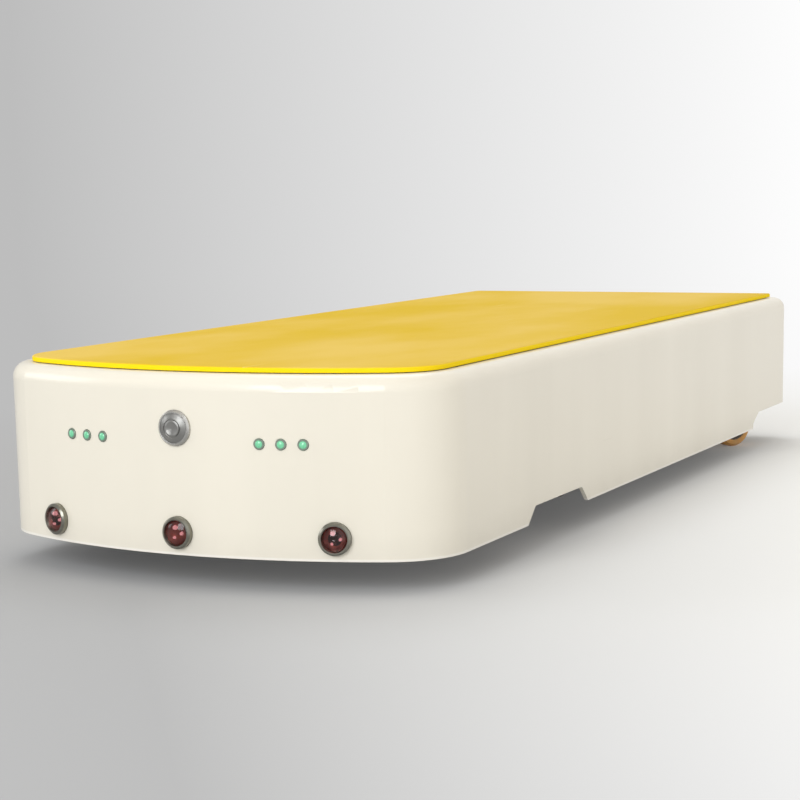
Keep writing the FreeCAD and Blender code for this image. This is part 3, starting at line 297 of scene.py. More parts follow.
def group_node(tree, name):
    """A shader group placed in a material; each group is built once."""
    if name not in GROUPS:
        GROUPS[name] = {"surface": surface_group, "dust": dust_group, "rings": ring_group,
                        "scuffs": scuff_group, "band": band_group}[name]()
    node = tree.nodes.new("ShaderNodeGroup")
    node.node_tree = GROUPS[name]
    return node


def rgba(colour):
    """Linear colour with alpha from a colour property or a tuple."""
    return (colour[0], colour[1], colour[2], 1.0)


def slip_in(material, label, **values):
    """Puts a colour group between a finish's base colour and its shader."""
    tree = material.node_tree
    shader = tree.nodes["Principled BSDF"]
    node = group_node(tree, label)
    for key, value in values.items():
        node.inputs[key.replace("_", " ").title()].default_value = value
    for key in ("Base Color", "Roughness"):
        inner = "Colour" if key == "Base Color" else key
        if inner in node.inputs and inner in node.outputs:
            tree.links.new(shader.inputs[key].links[0].from_socket, node.inputs[inner])
            tree.links.new(node.outputs[inner], shader.inputs[key])


def finish(name, colour, second, rough=0.4, spread=0.1, patch=6.0, contrast=2.0, stretch=(1, 1, 1),
           grain=900.0, depth=0.0, metallic=0.0, coat=0.0, dust=0.0, dust_top=0.12, specular=0.5):
    """A finish from the shared surface group."""
    material = bpy.data.materials.new(name)
    material.use_nodes = True
    tree = material.node_tree
    shader = tree.nodes["Principled BSDF"]
    shader.inputs["Metallic"].default_value = metallic
    shader.inputs["Coat Weight"].default_value = coat
    shader.inputs["Coat Roughness"].default_value = COAT_ROUGHNESS
    shader.inputs["Specular IOR Level"].default_value = specular
    surface = group_node(tree, "surface")
    for label, value in (("Colour", rgba(colour)), ("Second Colour", rgba(second)),
                         ("Patch Scale", patch), ("Patch Contrast", contrast),
                         ("Stretch", stretch), ("Roughness", rough),
                         ("Roughness Spread", spread), ("Grain Scale", grain)):
        surface.inputs[label].default_value = value
    colour_out, rough_out = surface.outputs["Colour"], surface.outputs["Roughness"]
    if dust:
        settled = group_node(tree, "dust")
        settled.inputs["Amount"].default_value = dust
        settled.inputs["Top"].default_value = dust_top
        tree.links.new(colour_out, settled.inputs["Colour"])
        tree.links.new(rough_out, settled.inputs["Roughness"])
        colour_out, rough_out = settled.outputs["Colour"], settled.outputs["Roughness"]
    tree.links.new(colour_out, shader.inputs["Base Color"])
    tree.links.new(rough_out, shader.inputs["Roughness"])
    if depth:
        bump = tree.nodes.new("ShaderNodeBump")
        bump.inputs["Distance"].default_value = depth
        tree.links.new(surface.outputs["Height"], bump.inputs["Height"])
        tree.links.new(bump.outputs["Normal"], shader.inputs["Normal"])
    return material


def glowing(material, colour, strength):
    """Adds a plain glow to a finish."""
    shader = material.node_tree.nodes["Principled BSDF"]
    shader.inputs["Emission Color"].default_value = rgba(colour)
    shader.inputs["Emission Strength"].default_value = strength
    return material


def clear(material, amount):
    """Makes a finish transmit light as clear plastic does."""
    shader = material.node_tree.nodes["Principled BSDF"]
    shader.inputs["Transmission Weight"].default_value = amount
    shader.inputs["IOR"].default_value = CLEAR_PLASTIC_IOR
    return material


def dress(material, *nodes):
    """Puts a finish on solids of the frame."""
    for node in nodes:
        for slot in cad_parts[node].material_slots:
            slot.material = material


# ---- mesh helpers -------------------------------------------------------------------------------
def piece(name, bm, body, material):
    """Turns a bmesh into a named piece that rides on a body, or on none if it spans two bodies."""
    bmesh.ops.remove_doubles(bm, verts=bm.verts, dist=WELD)
    bmesh.ops.recalc_face_normals(bm, faces=bm.faces)
    mesh = bpy.data.meshes.new(name)
    bm.to_mesh(mesh)
    bm.free()
    mesh.materials.append(material)
    obj = bpy.data.objects.new(name, mesh)
    bpy.context.scene.collection.objects.link(obj)
    mesh.shade_smooth()
    mesh.set_sharp_from_angle(angle=SHARP_ANGLE)
    if body:
        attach(obj, body)
    return obj


def facing(place, outward):
    """Matrix that puts a shape built on Z at a place, facing outward."""
    return Matrix.Translation(place) @ Vector(outward).to_track_quat("Z", "Y").to_matrix().to_4x4()


def turned_shape(bm, profile, place, outward, steps=48):
    """Adds a solid of revolution from (radius, height) corners, facing outward at a place."""
    start = len(bm.verts)
    verts = [bm.verts.new((radius, 0, height)) for radius, height in profile]
    edges = [bm.edges.new(pair) for pair in zip(verts, verts[1:])]
    bmesh.ops.spin(bm, geom=verts + edges, cent=(0, 0, 0), axis=UP, angle=2 * math.pi, steps=steps,
                   use_merge=True)
    bm.verts.ensure_lookup_table()
    bmesh.ops.transform(bm, matrix=facing(place, outward), verts=bm.verts[start:])


def screw(bm, place, outward, radius, height):
    """Adds a button-head screw with a round recess in its head."""
    sides, least_wall = 24, 0.2
    recess_r, recess_depth, edge_r = radius * 0.5, height * 0.55, min(height, radius) * 0.45
    start = len(bm.verts)
    head = bmesh.ops.create_cone(bm, cap_ends=True, segments=sides, radius1=radius, radius2=radius,
                                 depth=height)
    bmesh.ops.translate(bm, verts=head["verts"], vec=(0, 0, height / 2))
    top = max((face for face in bm.faces if face.verts[0] in head["verts"]),
              key=lambda face: face.calc_center_median().z)
    bmesh.ops.bevel(bm, geom=list(top.edges), offset=edge_r, segments=3, profile=0.5,
                    affect="EDGES", material=-1)
    bm.verts.ensure_lookup_table()
    fresh = set(bm.verts[start:])
    top = max((face for face in bm.faces if face.verts[0] in fresh and len(face.verts) == sides),
              key=lambda face: face.calc_center_median().z)
    side_length = sum(edge.calc_length() for edge in top.edges) / sides
    flat_r = side_length / (2 * math.sin(math.pi / sides))
    rim = max(flat_r - recess_r, flat_r * least_wall)
    bmesh.ops.inset_region(bm, faces=[top], thickness=rim)
    bmesh.ops.translate(bm, verts=list(top.verts), vec=(0, 0, -recess_depth))
    bm.verts.ensure_lookup_table()
    bmesh.ops.transform(bm, matrix=facing(place, outward), verts=bm.verts[start:])


# ---- properties ---------------------------------------------------------------------------------
class RobotPaint(bpy.types.PropertyGroup):
    """Colours of the parts that show most."""
    shell: bpy.props.FloatVectorProperty(
        name="Skirt", description="Colour of the moulded skirt",
        default=(0.86, 0.82, 0.72), min=0, max=1, size=3, subtype="COLOR")
    deck: bpy.props.FloatVectorProperty(
        name="Deck", description="Colour of the lifting deck",
        default=(0.76, 0.51, 0.002), min=0, max=1, size=3, subtype="COLOR")
    deck_wear: bpy.props.FloatVectorProperty(
        name="Deck wear", description="Paler yellow where the deck is rubbed",
        default=(0.82, 0.585, 0.12), min=0, max=1, size=3, subtype="COLOR")
    # Painted highlight: the deck's edge gets a brighter yellow than its top, standing in for the light
    # that the edge catches from the front.
    deck_edge_highlight: bpy.props.FloatVectorProperty(
        name="Deck edge", description="Painted highlight colour on the deck's edge",
        default=(0.98, 0.73, 0.014), min=0, max=1, size=3, subtype="COLOR")
    tread: bpy.props.FloatVectorProperty(
        name="Caster tread", description="Colour of the caster treads",
        default=(1.0, 0.48, 0.085), min=0, max=1, size=3, subtype="COLOR")


class RobotStudio(bpy.types.PropertyGroup):
    """Camera and lights of the studio."""
    camera_place: bpy.props.FloatVectorProperty(
        name="Camera place", description="Where the camera stands",
        default=(1.18934, -2.57227, 0.45215), size=3, subtype="TRANSLATION", unit="LENGTH")
    camera_yaw: bpy.props.FloatProperty(
        name="Camera yaw", description="Turn of the view from straight back",
        default=math.radians(26.398), subtype="ANGLE", unit="ROTATION")
    camera_pitch: bpy.props.FloatProperty(
        name="Camera pitch", description="How far the view looks down",
        default=math.radians(6.387), subtype="ANGLE", unit="ROTATION")
    camera_roll: bpy.props.FloatProperty(
        name="Camera roll", description="Lean of the camera",
        default=math.radians(-1.039), subtype="ANGLE", unit="ROTATION")
    lens: bpy.props.FloatProperty(
        name="Lens", description="Focal length on a 36 mm sensor", default=87.485, min=10, max=300)
    key_power: bpy.props.FloatProperty(
        name="Key light", description="Power of the light in front of the nose",
        default=52.0, min=0, unit="POWER")
    top_power: bpy.props.FloatProperty(
        name="Top light", description="Power of the light above the deck",
        default=22.0, min=0, unit="POWER")
    side_power: bpy.props.FloatProperty(
        name="Side light", description="Power of the light on the robot's right",
        default=14.0, min=0, unit="POWER")
    sky: bpy.props.FloatProperty(
        name="Room light", description="Strength of the even room light", default=0.78, min=0, max=2)


# ---- operators ----------------------------------------------------------------------------------
class ROBOT_OT_body(bpy.types.Operator):
    """Finish the skirt and the deck"""
    bl_idname = "robot.body"
    bl_label = "Skirt and Deck"

    def execute(self, context):
        paint = context.scene.robot_paint
        cream = Vector(paint.shell)
        # Painted shade: the second colour is a darker cream, stretched into upright streaks that stand in
        # for a dark band of shading on the nose; the streaks fall at random over the whole skirt.
        shell = finish("Skirt Gloss", cream, cream * 0.945, rough=0.33, spread=0.10, patch=6.5,
                       contrast=2.6, stretch=(1.0, 1.0, 0.12), grain=260.0, depth=0.00004, coat=0.35,
                       dust=0.40, dust_top=0.07)
        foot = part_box("body_shell")[0][2]
        # Painted highlight: a paler band along the foot of the skirt, standing in for the light that a
        # rounded lower edge would catch.
        highlight_height, beyond = 0.0035, 0.01
        lip = cream.lerp(Vector((1, 1, 1)), 0.5)
        slip_in(shell, "band", band_colour=rgba(lip), low=foot - beyond, high=foot + highlight_height,
                soft=0.0015, amount=0.7)
        slip_in(shell, "scuffs", scuff_colour=rgba(cream * 0.84), stretch=(5.0, 5.0, 260.0),
                amount=0.35, limit=0.80)
        dress(shell, "body_shell")
        yellow = Vector(paint.deck)
        pale = Vector(paint.deck_wear)
        deck = finish("Deck Enamel", yellow, pale, rough=0.50, spread=0.08, patch=3.4, contrast=3.6,
                      stretch=(1.5, 0.75, 1.0), grain=1500.0, depth=0.00002, specular=0.02)
        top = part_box("deck_plate")[1][2]
        highlight_top, highlight_foot = 0.0006, 0.02
        bare = pale.lerp(Vector((0.9, 0.8, 0.5)), 0.4)
        slip_in(deck, "scuffs", scuff_colour=rgba(bare), stretch=(150.0, 5.0, 1.0), amount=0.45,
                limit=0.70)
        # Painted highlight: a brighter yellow band down the deck's edge, standing in for the light that
        # the edge catches.
        slip_in(deck, "band", band_colour=rgba(paint.deck_edge_highlight), low=top - highlight_foot,
                high=top - highlight_top, soft=0.0008)
        dress(deck, "deck_plate")
        return {"FINISHED"}


class ROBOT_OT_chassis(bpy.types.Operator):
    """Finish the frame, lift, battery and controls"""
    bl_idname = "robot.chassis"
    bl_label = "Chassis"

    def execute(self, context):
        dark = finish("Powder Coat", (0.028, 0.029, 0.032), (0.045, 0.045, 0.048), rough=0.5,
                      grain=1400.0, depth=0.00005, dust=0.5)
        dress(dark, "deck_seat_ring", "deck_frame_tubes", "frame_rails", "frame_cross_members",
              "battery_floor", "frame_brackets", "drive_brackets", "belly_pan")
        steel = finish("Ground Steel", (0.60, 0.60, 0.61), (0.52, 0.52, 0.54), rough=0.18, spread=0.1,
                       patch=30.0, stretch=(1, 1, 12), metallic=1.0)
        dress(steel, "lift_rams")
        machined = finish("Machined Aluminium", (0.62, 0.63, 0.65), (0.52, 0.53, 0.56), rough=0.34,
                          spread=0.14, patch=26.0, stretch=(1, 6, 1), grain=700.0, depth=0.00002,
                          metallic=1.0, dust=0.3)
        dress(machined, "lift_columns", "motor_drivers", "drive_arm_left", "drive_arm_right",
              "drive_rim_left", "drive_rim_right", "control_box")
        black = finish("Black Moulding", (0.022, 0.022, 0.024), (0.032, 0.032, 0.034), rough=0.48,
                       grain=1600.0, depth=0.00006, dust=0.2)
        dress(black, "lift_bushes", "lift_motors", "drive_gearmotor_left", "drive_gearmotor_right",
              "floor_reader", "tail_switch_bodies", "charge_contact_block",
              "nose_fitting_bodies", "power_knob", "battery_lid")
        battery = finish("Battery Moulding", (0.04, 0.055, 0.085), (0.055, 0.07, 0.10), rough=0.45,
                         grain=1100.0, depth=0.00008)
        dress(battery, "battery_case")
        brass = finish("Contact Brass", (0.62, 0.42, 0.16), (0.50, 0.33, 0.13), rough=0.28, patch=60.0,
                       metallic=1.0)
        dress(brass, "charge_contacts", "battery_terminals")
        window = finish("Reader Glass", (0.05, 0.06, 0.08), (0.06, 0.07, 0.09), rough=0.05,
                        spread=0.02)
        dress(clear(window, 0.6), "floor_reader_window")
        return {"FINISHED"}


class ROBOT_OT_running_gear(bpy.types.Operator):
    """Finish the casters and the drive modules"""
    bl_idname = "robot.running_gear"
    bl_label = "Running Gear"

    def execute(self, context):
        tread_colour = Vector(context.scene.robot_paint.tread)
        zinc = finish("Zinc Plate", (0.55, 0.55, 0.53), (0.44, 0.45, 0.46), rough=0.36, spread=0.2,
                      patch=45.0, grain=800.0, depth=0.00003, metallic=1.0, dust=0.4)
        corners = ["%s_%s" % (end, side) for end in ENDS for side in SIDES]
        dress(zinc, "caster_plates", "caster_bolts", "drive_pivot_pins",
              *["caster_fork_" + corner for corner in corners])
        orange = finish("Orange Tread", tread_colour, tread_colour * 0.75, rough=0.42, patch=40.0,
                        dust=0.6, grain=1200.0, depth=0.00004)
        dress(orange, *["caster_tread_" + corner for corner in corners])
        core = finish("Caster Core", (0.055, 0.035, 0.026), (0.04, 0.028, 0.022), rough=0.5, dust=0.4,
                      grain=1500.0, depth=0.00005)
        dress(core, *["caster_core_" + corner for corner in corners])
        rubber = finish("Buffer Rubber", (0.022, 0.022, 0.022), (0.04, 0.039, 0.038), rough=0.7,
                        patch=30.0, grain=1800.0, depth=0.0001, dust=0.7)
        dress(rubber, "drive_tread_left", "drive_tread_right", "drive_spring_left",
              "drive_spring_right")
        return {"FINISHED"}


class ROBOT_OT_fittings(bpy.types.Operator):
    """Finish the sensors, lamps, buttons and contacts"""
    bl_idname = "robot.fittings"
    bl_label = "Fittings"

    def execute(self, context):
        bezel = finish("Bezel Metal", (0.33, 0.32, 0.27), (0.24, 0.235, 0.20), rough=0.30, patch=90.0,
                       metallic=1.0)
        dress(bezel, "sensor_bezels")
        lamp_ring = finish("Lamp Ring", (0.30, 0.36, 0.30), (0.22, 0.28, 0.23), rough=0.34, patch=200.0,
                           metallic=0.6)
        dress(lamp_ring, "lamp_bezels")
        # Painted reflection: the cap is a darker copy of the bezel's metal, standing in for the dark
        # centre and bright ring that the polished button reflects.
        for name, tone, rough in (("cap", 0.40, 0.36), ("bezel", 0.64, 0.27)):
            metal = finish("Button " + name.title(), (tone, tone * 0.985, tone * 0.94),
                           (tone * 0.8, tone * 0.79, tone * 0.76), rough=rough, patch=70.0, metallic=1.0)
            add_rings(metal, centre_of("button_cap"), pitch=0.0012, depth=0.00005)
            dress(metal, "button_" + name)
        red = finish("Sensor Lens", (0.60, 0.24, 0.21), (0.54, 0.20, 0.18), rough=0.03, spread=0.02,
                     patch=40.0)
        dress(clear(red, 1.0), "sensor_lenses")
        green = finish("Lamp Lens", (0.19, 0.62, 0.36), (0.15, 0.54, 0.31), rough=0.12, spread=0.04,
                       coat=0.8)
        dress(glowing(green, (0.12, 0.70, 0.33), 0.12), "lamp_lenses")
        stop_red = finish("Stop Red", (0.52, 0.012, 0.010), (0.46, 0.010, 0.009), rough=0.28,
                          coat=0.4)
        dress(stop_red, "estop_button")
        amber = finish("Collar Yellow", (0.72, 0.48, 0.03), (0.66, 0.43, 0.03), rough=0.4, grain=1500.0,
                       depth=0.00004)
        dress(amber, "estop_collar")
        return {"FINISHED"}


def add_rings(material, centre, pitch, depth):
    """Adds turned rings to a finish, round an axis along Y."""
    tree = material.node_tree
    rings = group_node(tree, "rings")
    rings.inputs["Centre"].default_value = centre
    rings.inputs["Pitch"].default_value = pitch
    bump = tree.nodes.new("ShaderNodeBump")
    bump.inputs["Distance"].default_value = depth
    tree.links.new(rings.outputs["Height"], bump.inputs["Height"])
    tree.links.new(bump.outputs["Normal"], tree.nodes["Principled BSDF"].inputs["Normal"])


def nose_axes(node):
    """Middle and outward direction of each fitting of a node on the bowed nose."""
    middles = [(low + high) / 2 for low, high in solids_of(node)]
    side, centre = middles[0], middles[len(middles) // 2]
    back = side.y - centre.y
    radius = (side.x ** 2 + back ** 2) / (2 * back)
    hub = Vector((0, centre.y + radius, 0))
    return [(at, Vector((at.x, at.y - hub.y, 0)).normalized()) for at in middles]


class ROBOT_OT_ribs(bpy.types.Operator):
    """Model the moulded ribs inside the long walls of the skirt"""
    bl_idname = "robot.ribs"
    bl_label = "Skirt Ribs"

    def execute(self, context):
        cream = Vector(context.scene.robot_paint.shell) * 0.93
        matte = finish("Skirt Inside", cream, cream * 0.93, rough=0.62, patch=9.0, grain=300.0,
                       depth=0.0001, dust=0.6)
        low, high = map(Vector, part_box("body_shell"))
        stations = (-0.50, -0.15, -0.05, 0.05, 0.14, 0.32, 0.38, 0.50)
        depth, thickness, edge_r = 0.012, 0.003, 0.0008
        foot_margin, top_margin, wall_margin = 0.006, 0.024, 0.0052
        wall_lean, foot_slope, top_slope = 0.0023, 0.02, 0.004
        foot, top, wall = low.z + foot_margin, high.z - top_margin, high.x - wall_margin
        middle = (foot + top) / 2
        bm = bmesh.new()
        for sign in (-1, 1):
            for y in stations:
                rib = bmesh.ops.create_cube(bm, size=1.0)["verts"]
                bmesh.ops.scale(bm, verts=rib, vec=(depth, thickness, top - foot))
                bmesh.ops.translate(bm, verts=rib, vec=(sign * (wall - depth / 2), y, middle))
                for vert in rib:
                    lower = vert.co.z < middle
                    if lower:
                        vert.co.x -= sign * wall_lean
                    if abs(vert.co.x) < wall - depth / 2:
                        vert.co.z += foot_slope if lower else -top_slope
                edges = {edge for vert in rib for edge in vert.link_edges}
                bmesh.ops.bevel(bm, geom=list(edges), offset=edge_r, segments=2, profile=0.5,
                                affect="EDGES", material=-1)
        piece("Skirt_Ribs", bm, "chassis", matte)
        return {"FINISHED"}


class ROBOT_OT_optics(bpy.types.Operator):
    """Model what shows inside the sensor lenses"""
    bl_idname = "robot.optics"
    bl_label = "Sensor Optics"

    def execute(self, context):
        axes = nose_axes("sensor_lenses")
        low, high = solids_of("sensor_lenses")[1]
        radius, depth = (high.x - low.x) / 2, high.y - low.y
        cup = finish("Reflector Cup", (0.36, 0.17, 0.13), (0.22, 0.09, 0.075), rough=0.35,
                     patch=160.0, contrast=3.0, metallic=0.4)
        glinting_chip = finish("Emitter", (0.95, 0.72, 0.76), (0.80, 0.40, 0.52), rough=0.10, patch=300.0,
                      coat=1.0)
        # Painted highlight: the chips glow although the sensors show no visible light, standing in for
        # the small bright glints in the lenses.
        glowing(glinting_chip, (1.0, 0.72, 0.80), 0.55)
        seat_gap = 0.0002
        cup_r, rim_r, slope_r, floor_r = (radius * share for share in (0.96, 0.90, 0.42, 0.38))
        rim, slope_foot, floor = depth * 0.42, depth * 0.10, depth * 0.07
        led_foot, collar_top, neck, dome_z = (depth * share for share in (0.05, 0.14, 0.16, 0.40))
        led_shares, led_ring, collar, first_turn, turn_step = (0.16, 0.12, 0.09), 0.42, 1.25, 70, 115
        cups, chips = bmesh.new(), bmesh.new()
        for at, outward in axes:
            foot = at - outward * (depth / 2 - seat_gap)
            turned_shape(cups, [(0, 0), (cup_r, 0), (cup_r, rim), (rim_r, rim), (slope_r, slope_foot),
                                (floor_r, floor), (0, floor)], foot, outward)
            across = outward.cross(UP)
            for k, share in enumerate(led_shares):
                led_r, turn = radius * share, math.radians(first_turn + turn_step * k)
                place = foot + (across * math.cos(turn) + UP * math.sin(turn)) * radius * led_ring
                dome = [(led_r * math.cos(a), dome_z + led_r * math.sin(a))
                        for a in (0, math.pi / 8, math.pi / 4, 3 * math.pi / 8)]
                turned_shape(chips, [(0, led_foot), (led_r * collar, led_foot),
                                     (led_r * collar, collar_top), (led_r, neck)]
                             + dome + [(0, dome_z + led_r)], place, outward, steps=20)
        piece("Sensor_Reflectors", cups, "chassis", cup)
        piece("Sensor_Emitters", chips, "chassis", glinting_chip)
        return {"FINISHED"}


class ROBOT_OT_fasteners(bpy.types.Operator):
    """Model the screws that hold the pan, the reader, the contacts and the drive hubs"""
    bl_idname = "robot.fasteners"
    bl_label = "Fasteners"

    def execute(self, context):
        black = finish("Black Screw", (0.03, 0.03, 0.032), (0.05, 0.05, 0.052), rough=0.32,
                       patch=300.0, metallic=0.7)
        zinc = finish("Zinc Screw", (0.56, 0.56, 0.54), (0.44, 0.45, 0.45), rough=0.3, patch=260.0,
                      metallic=1.0)
        self.pan_screws(zinc)
        self.reader_screws(black)
        self.contact_screws(zinc)
        for side in SIDES:
            self.hub_screws(side, black)
        return {"FINISHED"}

    def pan_screws(self, material):
        """Screws along the rim of the belly pan and of its two wings."""
        low, high = map(Vector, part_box("belly_pan"))
        wing_rows, neck_rows = (-0.275, -0.165, -0.055, 0.055, 0.165, 0.275), (0.32, 0.425)
        wing_margin, end_margin, neck_x, middle_x = 0.007, 0.008, 0.147, 0.07
        wing_x, ends = high.x - wing_margin, (low.y + end_margin, high.y - end_margin)
        places = [(side * wing_x, y) for side in (-1, 1) for y in wing_rows]
        places += [(side * neck_x, y) for side in (-1, 1) for y in (ends[0], *neck_rows, ends[1])]
        places += [(side * middle_x, y) for side in (-1, 1) for y in ends]
        bm = bmesh.new()
        for x, y in places:
            screw(bm, Vector((x, y, low.z)), DOWN, radius=0.0045, height=0.0026)
        piece("Pan_Screws", bm, "chassis", material)

    def reader_screws(self, material):
        """Four screws in the corners of the floor code reader."""
        low, high = map(Vector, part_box("floor_reader"))
        inset = 0.009
        bm = bmesh.new()
        for x in (low.x + inset, high.x - inset):
            for y in (low.y + inset, high.y - inset):
                screw(bm, Vector((x, y, low.z)), DOWN, radius=0.0035, height=0.002)
        piece("Reader_Screws", bm, "chassis", material)

    def contact_screws(self, material):
        """Four screws in the ends of the charging contact block."""
        low, high = map(Vector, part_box("charge_contact_block"))
        inset, half_pitch, middle = 0.006, 0.011, (low.z + high.z) / 2
        bm = bmesh.new()
        for x in (low.x + inset, high.x - inset):
            for z in (middle - half_pitch, middle + half_pitch):
                screw(bm, Vector((x, high.y, z)), TAILWARD, radius=0.0032, height=0.0018)
        piece("Contact_Screws", bm, "chassis", material)

    def hub_screws(self, side, material):
        """Ring of screws in the outer face of a drive wheel's hub."""
        sign = 1 if side == "left" else -1
        count, circle_r, face_depth = 5, 0.0193, 0.006
        low, high = map(Vector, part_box("drive_rim_" + side))
        centre = (low + high) / 2
        face_x = (high.x - face_depth) if sign > 0 else (low.x + face_depth)
        bm = bmesh.new()
        for k in range(count):
            turn = 2 * math.pi * k / count
            at = Vector((face_x, centre.y + circle_r * math.cos(turn),
                         centre.z + circle_r * math.sin(turn)))
            screw(bm, at, Vector((sign, 0, 0)), radius=0.0027, height=0.0024)
        piece("Hub_Screws_" + side, bm, "drive_wheel_" + side, material)


class ROBOT_OT_treads(bpy.types.Operator):
    """Model the grooved drive treads, the rubber springs and the seals of the casters"""
    bl_idname = "robot.treads"
    bl_label = "Treads, Springs and Seals"

    def execute(self, context):
        rubber = finish("Drive Tread", (0.02, 0.02, 0.02), (0.035, 0.034, 0.033), rough=0.78,
                        patch=30.0, grain=1800.0, depth=0.0001, dust=0.7)
        for side in SIDES:
            self.drive_tread(side, rubber)
        for side in SIDES:
            self.buffer_spring(side, rubber)
        self.race_seals()
        return {"FINISHED"}

    def drive_tread(self, side, rubber):
        """Tread with grooves round it, which takes the place of the plain one."""
        thickness, chamfer, half_groove, groove_depth = 0.0119, 0.003, 0.0016, 0.0018
        groove_pitch, floor_share = 0.34, 0.6
        low, high = map(Vector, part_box("drive_tread_" + side))
        centre = (low + high) / 2
        half, outer = (high.x - low.x) / 2, (high.z - low.z) / 2
        inner, floor = outer - thickness, outer - groove_depth
        profile = [(inner, -half), (outer - chamfer, -half), (outer, -half + chamfer)]
        for k in (-2, -1, 0, 1, 2):
            at = k * half * groove_pitch
            profile += [(outer, at - half_groove), (floor, at - half_groove * floor_share),
                        (floor, at + half_groove * floor_share), (outer, at + half_groove)]
        profile += [(outer, half - chamfer), (outer - chamfer, half), (inner, half), (inner, -half)]
        bm = bmesh.new()
        turned_shape(bm, profile, centre, Vector((1, 0, 0)), steps=120)
        tread = piece("Drive_Tread_" + side, bm, "drive_wheel_" + side, rubber)
        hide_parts("drive_tread_" + side)

    def race_seals(self):
        """Rubber lip under each caster's top plate."""
        seal = finish("Race Seal", (0.02, 0.02, 0.022), (0.03, 0.03, 0.03), rough=0.6, patch=200.0)
        bore_r, outer_r, lip_r = 0.0155, 0.0178, 0.0184
        foot, lip, top = -0.0011, -0.0006, -0.0001
        profile = [(bore_r, foot), (outer_r, foot), (lip_r, lip), (outer_r, top), (bore_r, top),
                   (bore_r, foot)]
        for low, high in solids_of("caster_plates"):
            end = "rear" if low.y > 0 else "front"
            side = "left" if low.x + high.x > 0 else "right"
            corner = "%s_%s" % (end, side)
            centre = (low + high) / 2
            bm = bmesh.new()
            turned_shape(bm, profile, Vector((centre.x, centre.y, low.z)), UP, steps=40)
            piece("Race_Seal_" + corner, bm, "caster_swivel_" + corner, seal)

    def buffer_spring(self, side, rubber):
        """Hollow rubber spring of rounded rings that stretches between the arm and its seat."""
        low, high = map(Vector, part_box("drive_spring_" + side))
        centre = (low + high) / 2
        outer, half = (high.x - low.x) / 2, (high.z - low.z) / 2
        bore, neck_depth, rings, steps, post = 0.007, 0.004, 3, 10, 0.008
        neck, ring = outer - neck_depth, 2 * half / rings
        profile = [(neck + (outer - neck) * math.sin(math.pi * k / steps), ring * (at + k / steps) - half)
                   for at in range(rings) for k in range(steps)]
        profile.append((neck, half))
        profile += [(bore, half - ring * k / steps) for k in range(rings * steps + 1)]
        profile.append(profile[0])
        bm = bmesh.new()
        turned_shape(bm, profile, centre, UP, steps=64)
        spring = piece("Buffer_Spring_" + side, bm, None, rubber)
        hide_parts("drive_spring_" + side)
        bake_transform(spring)


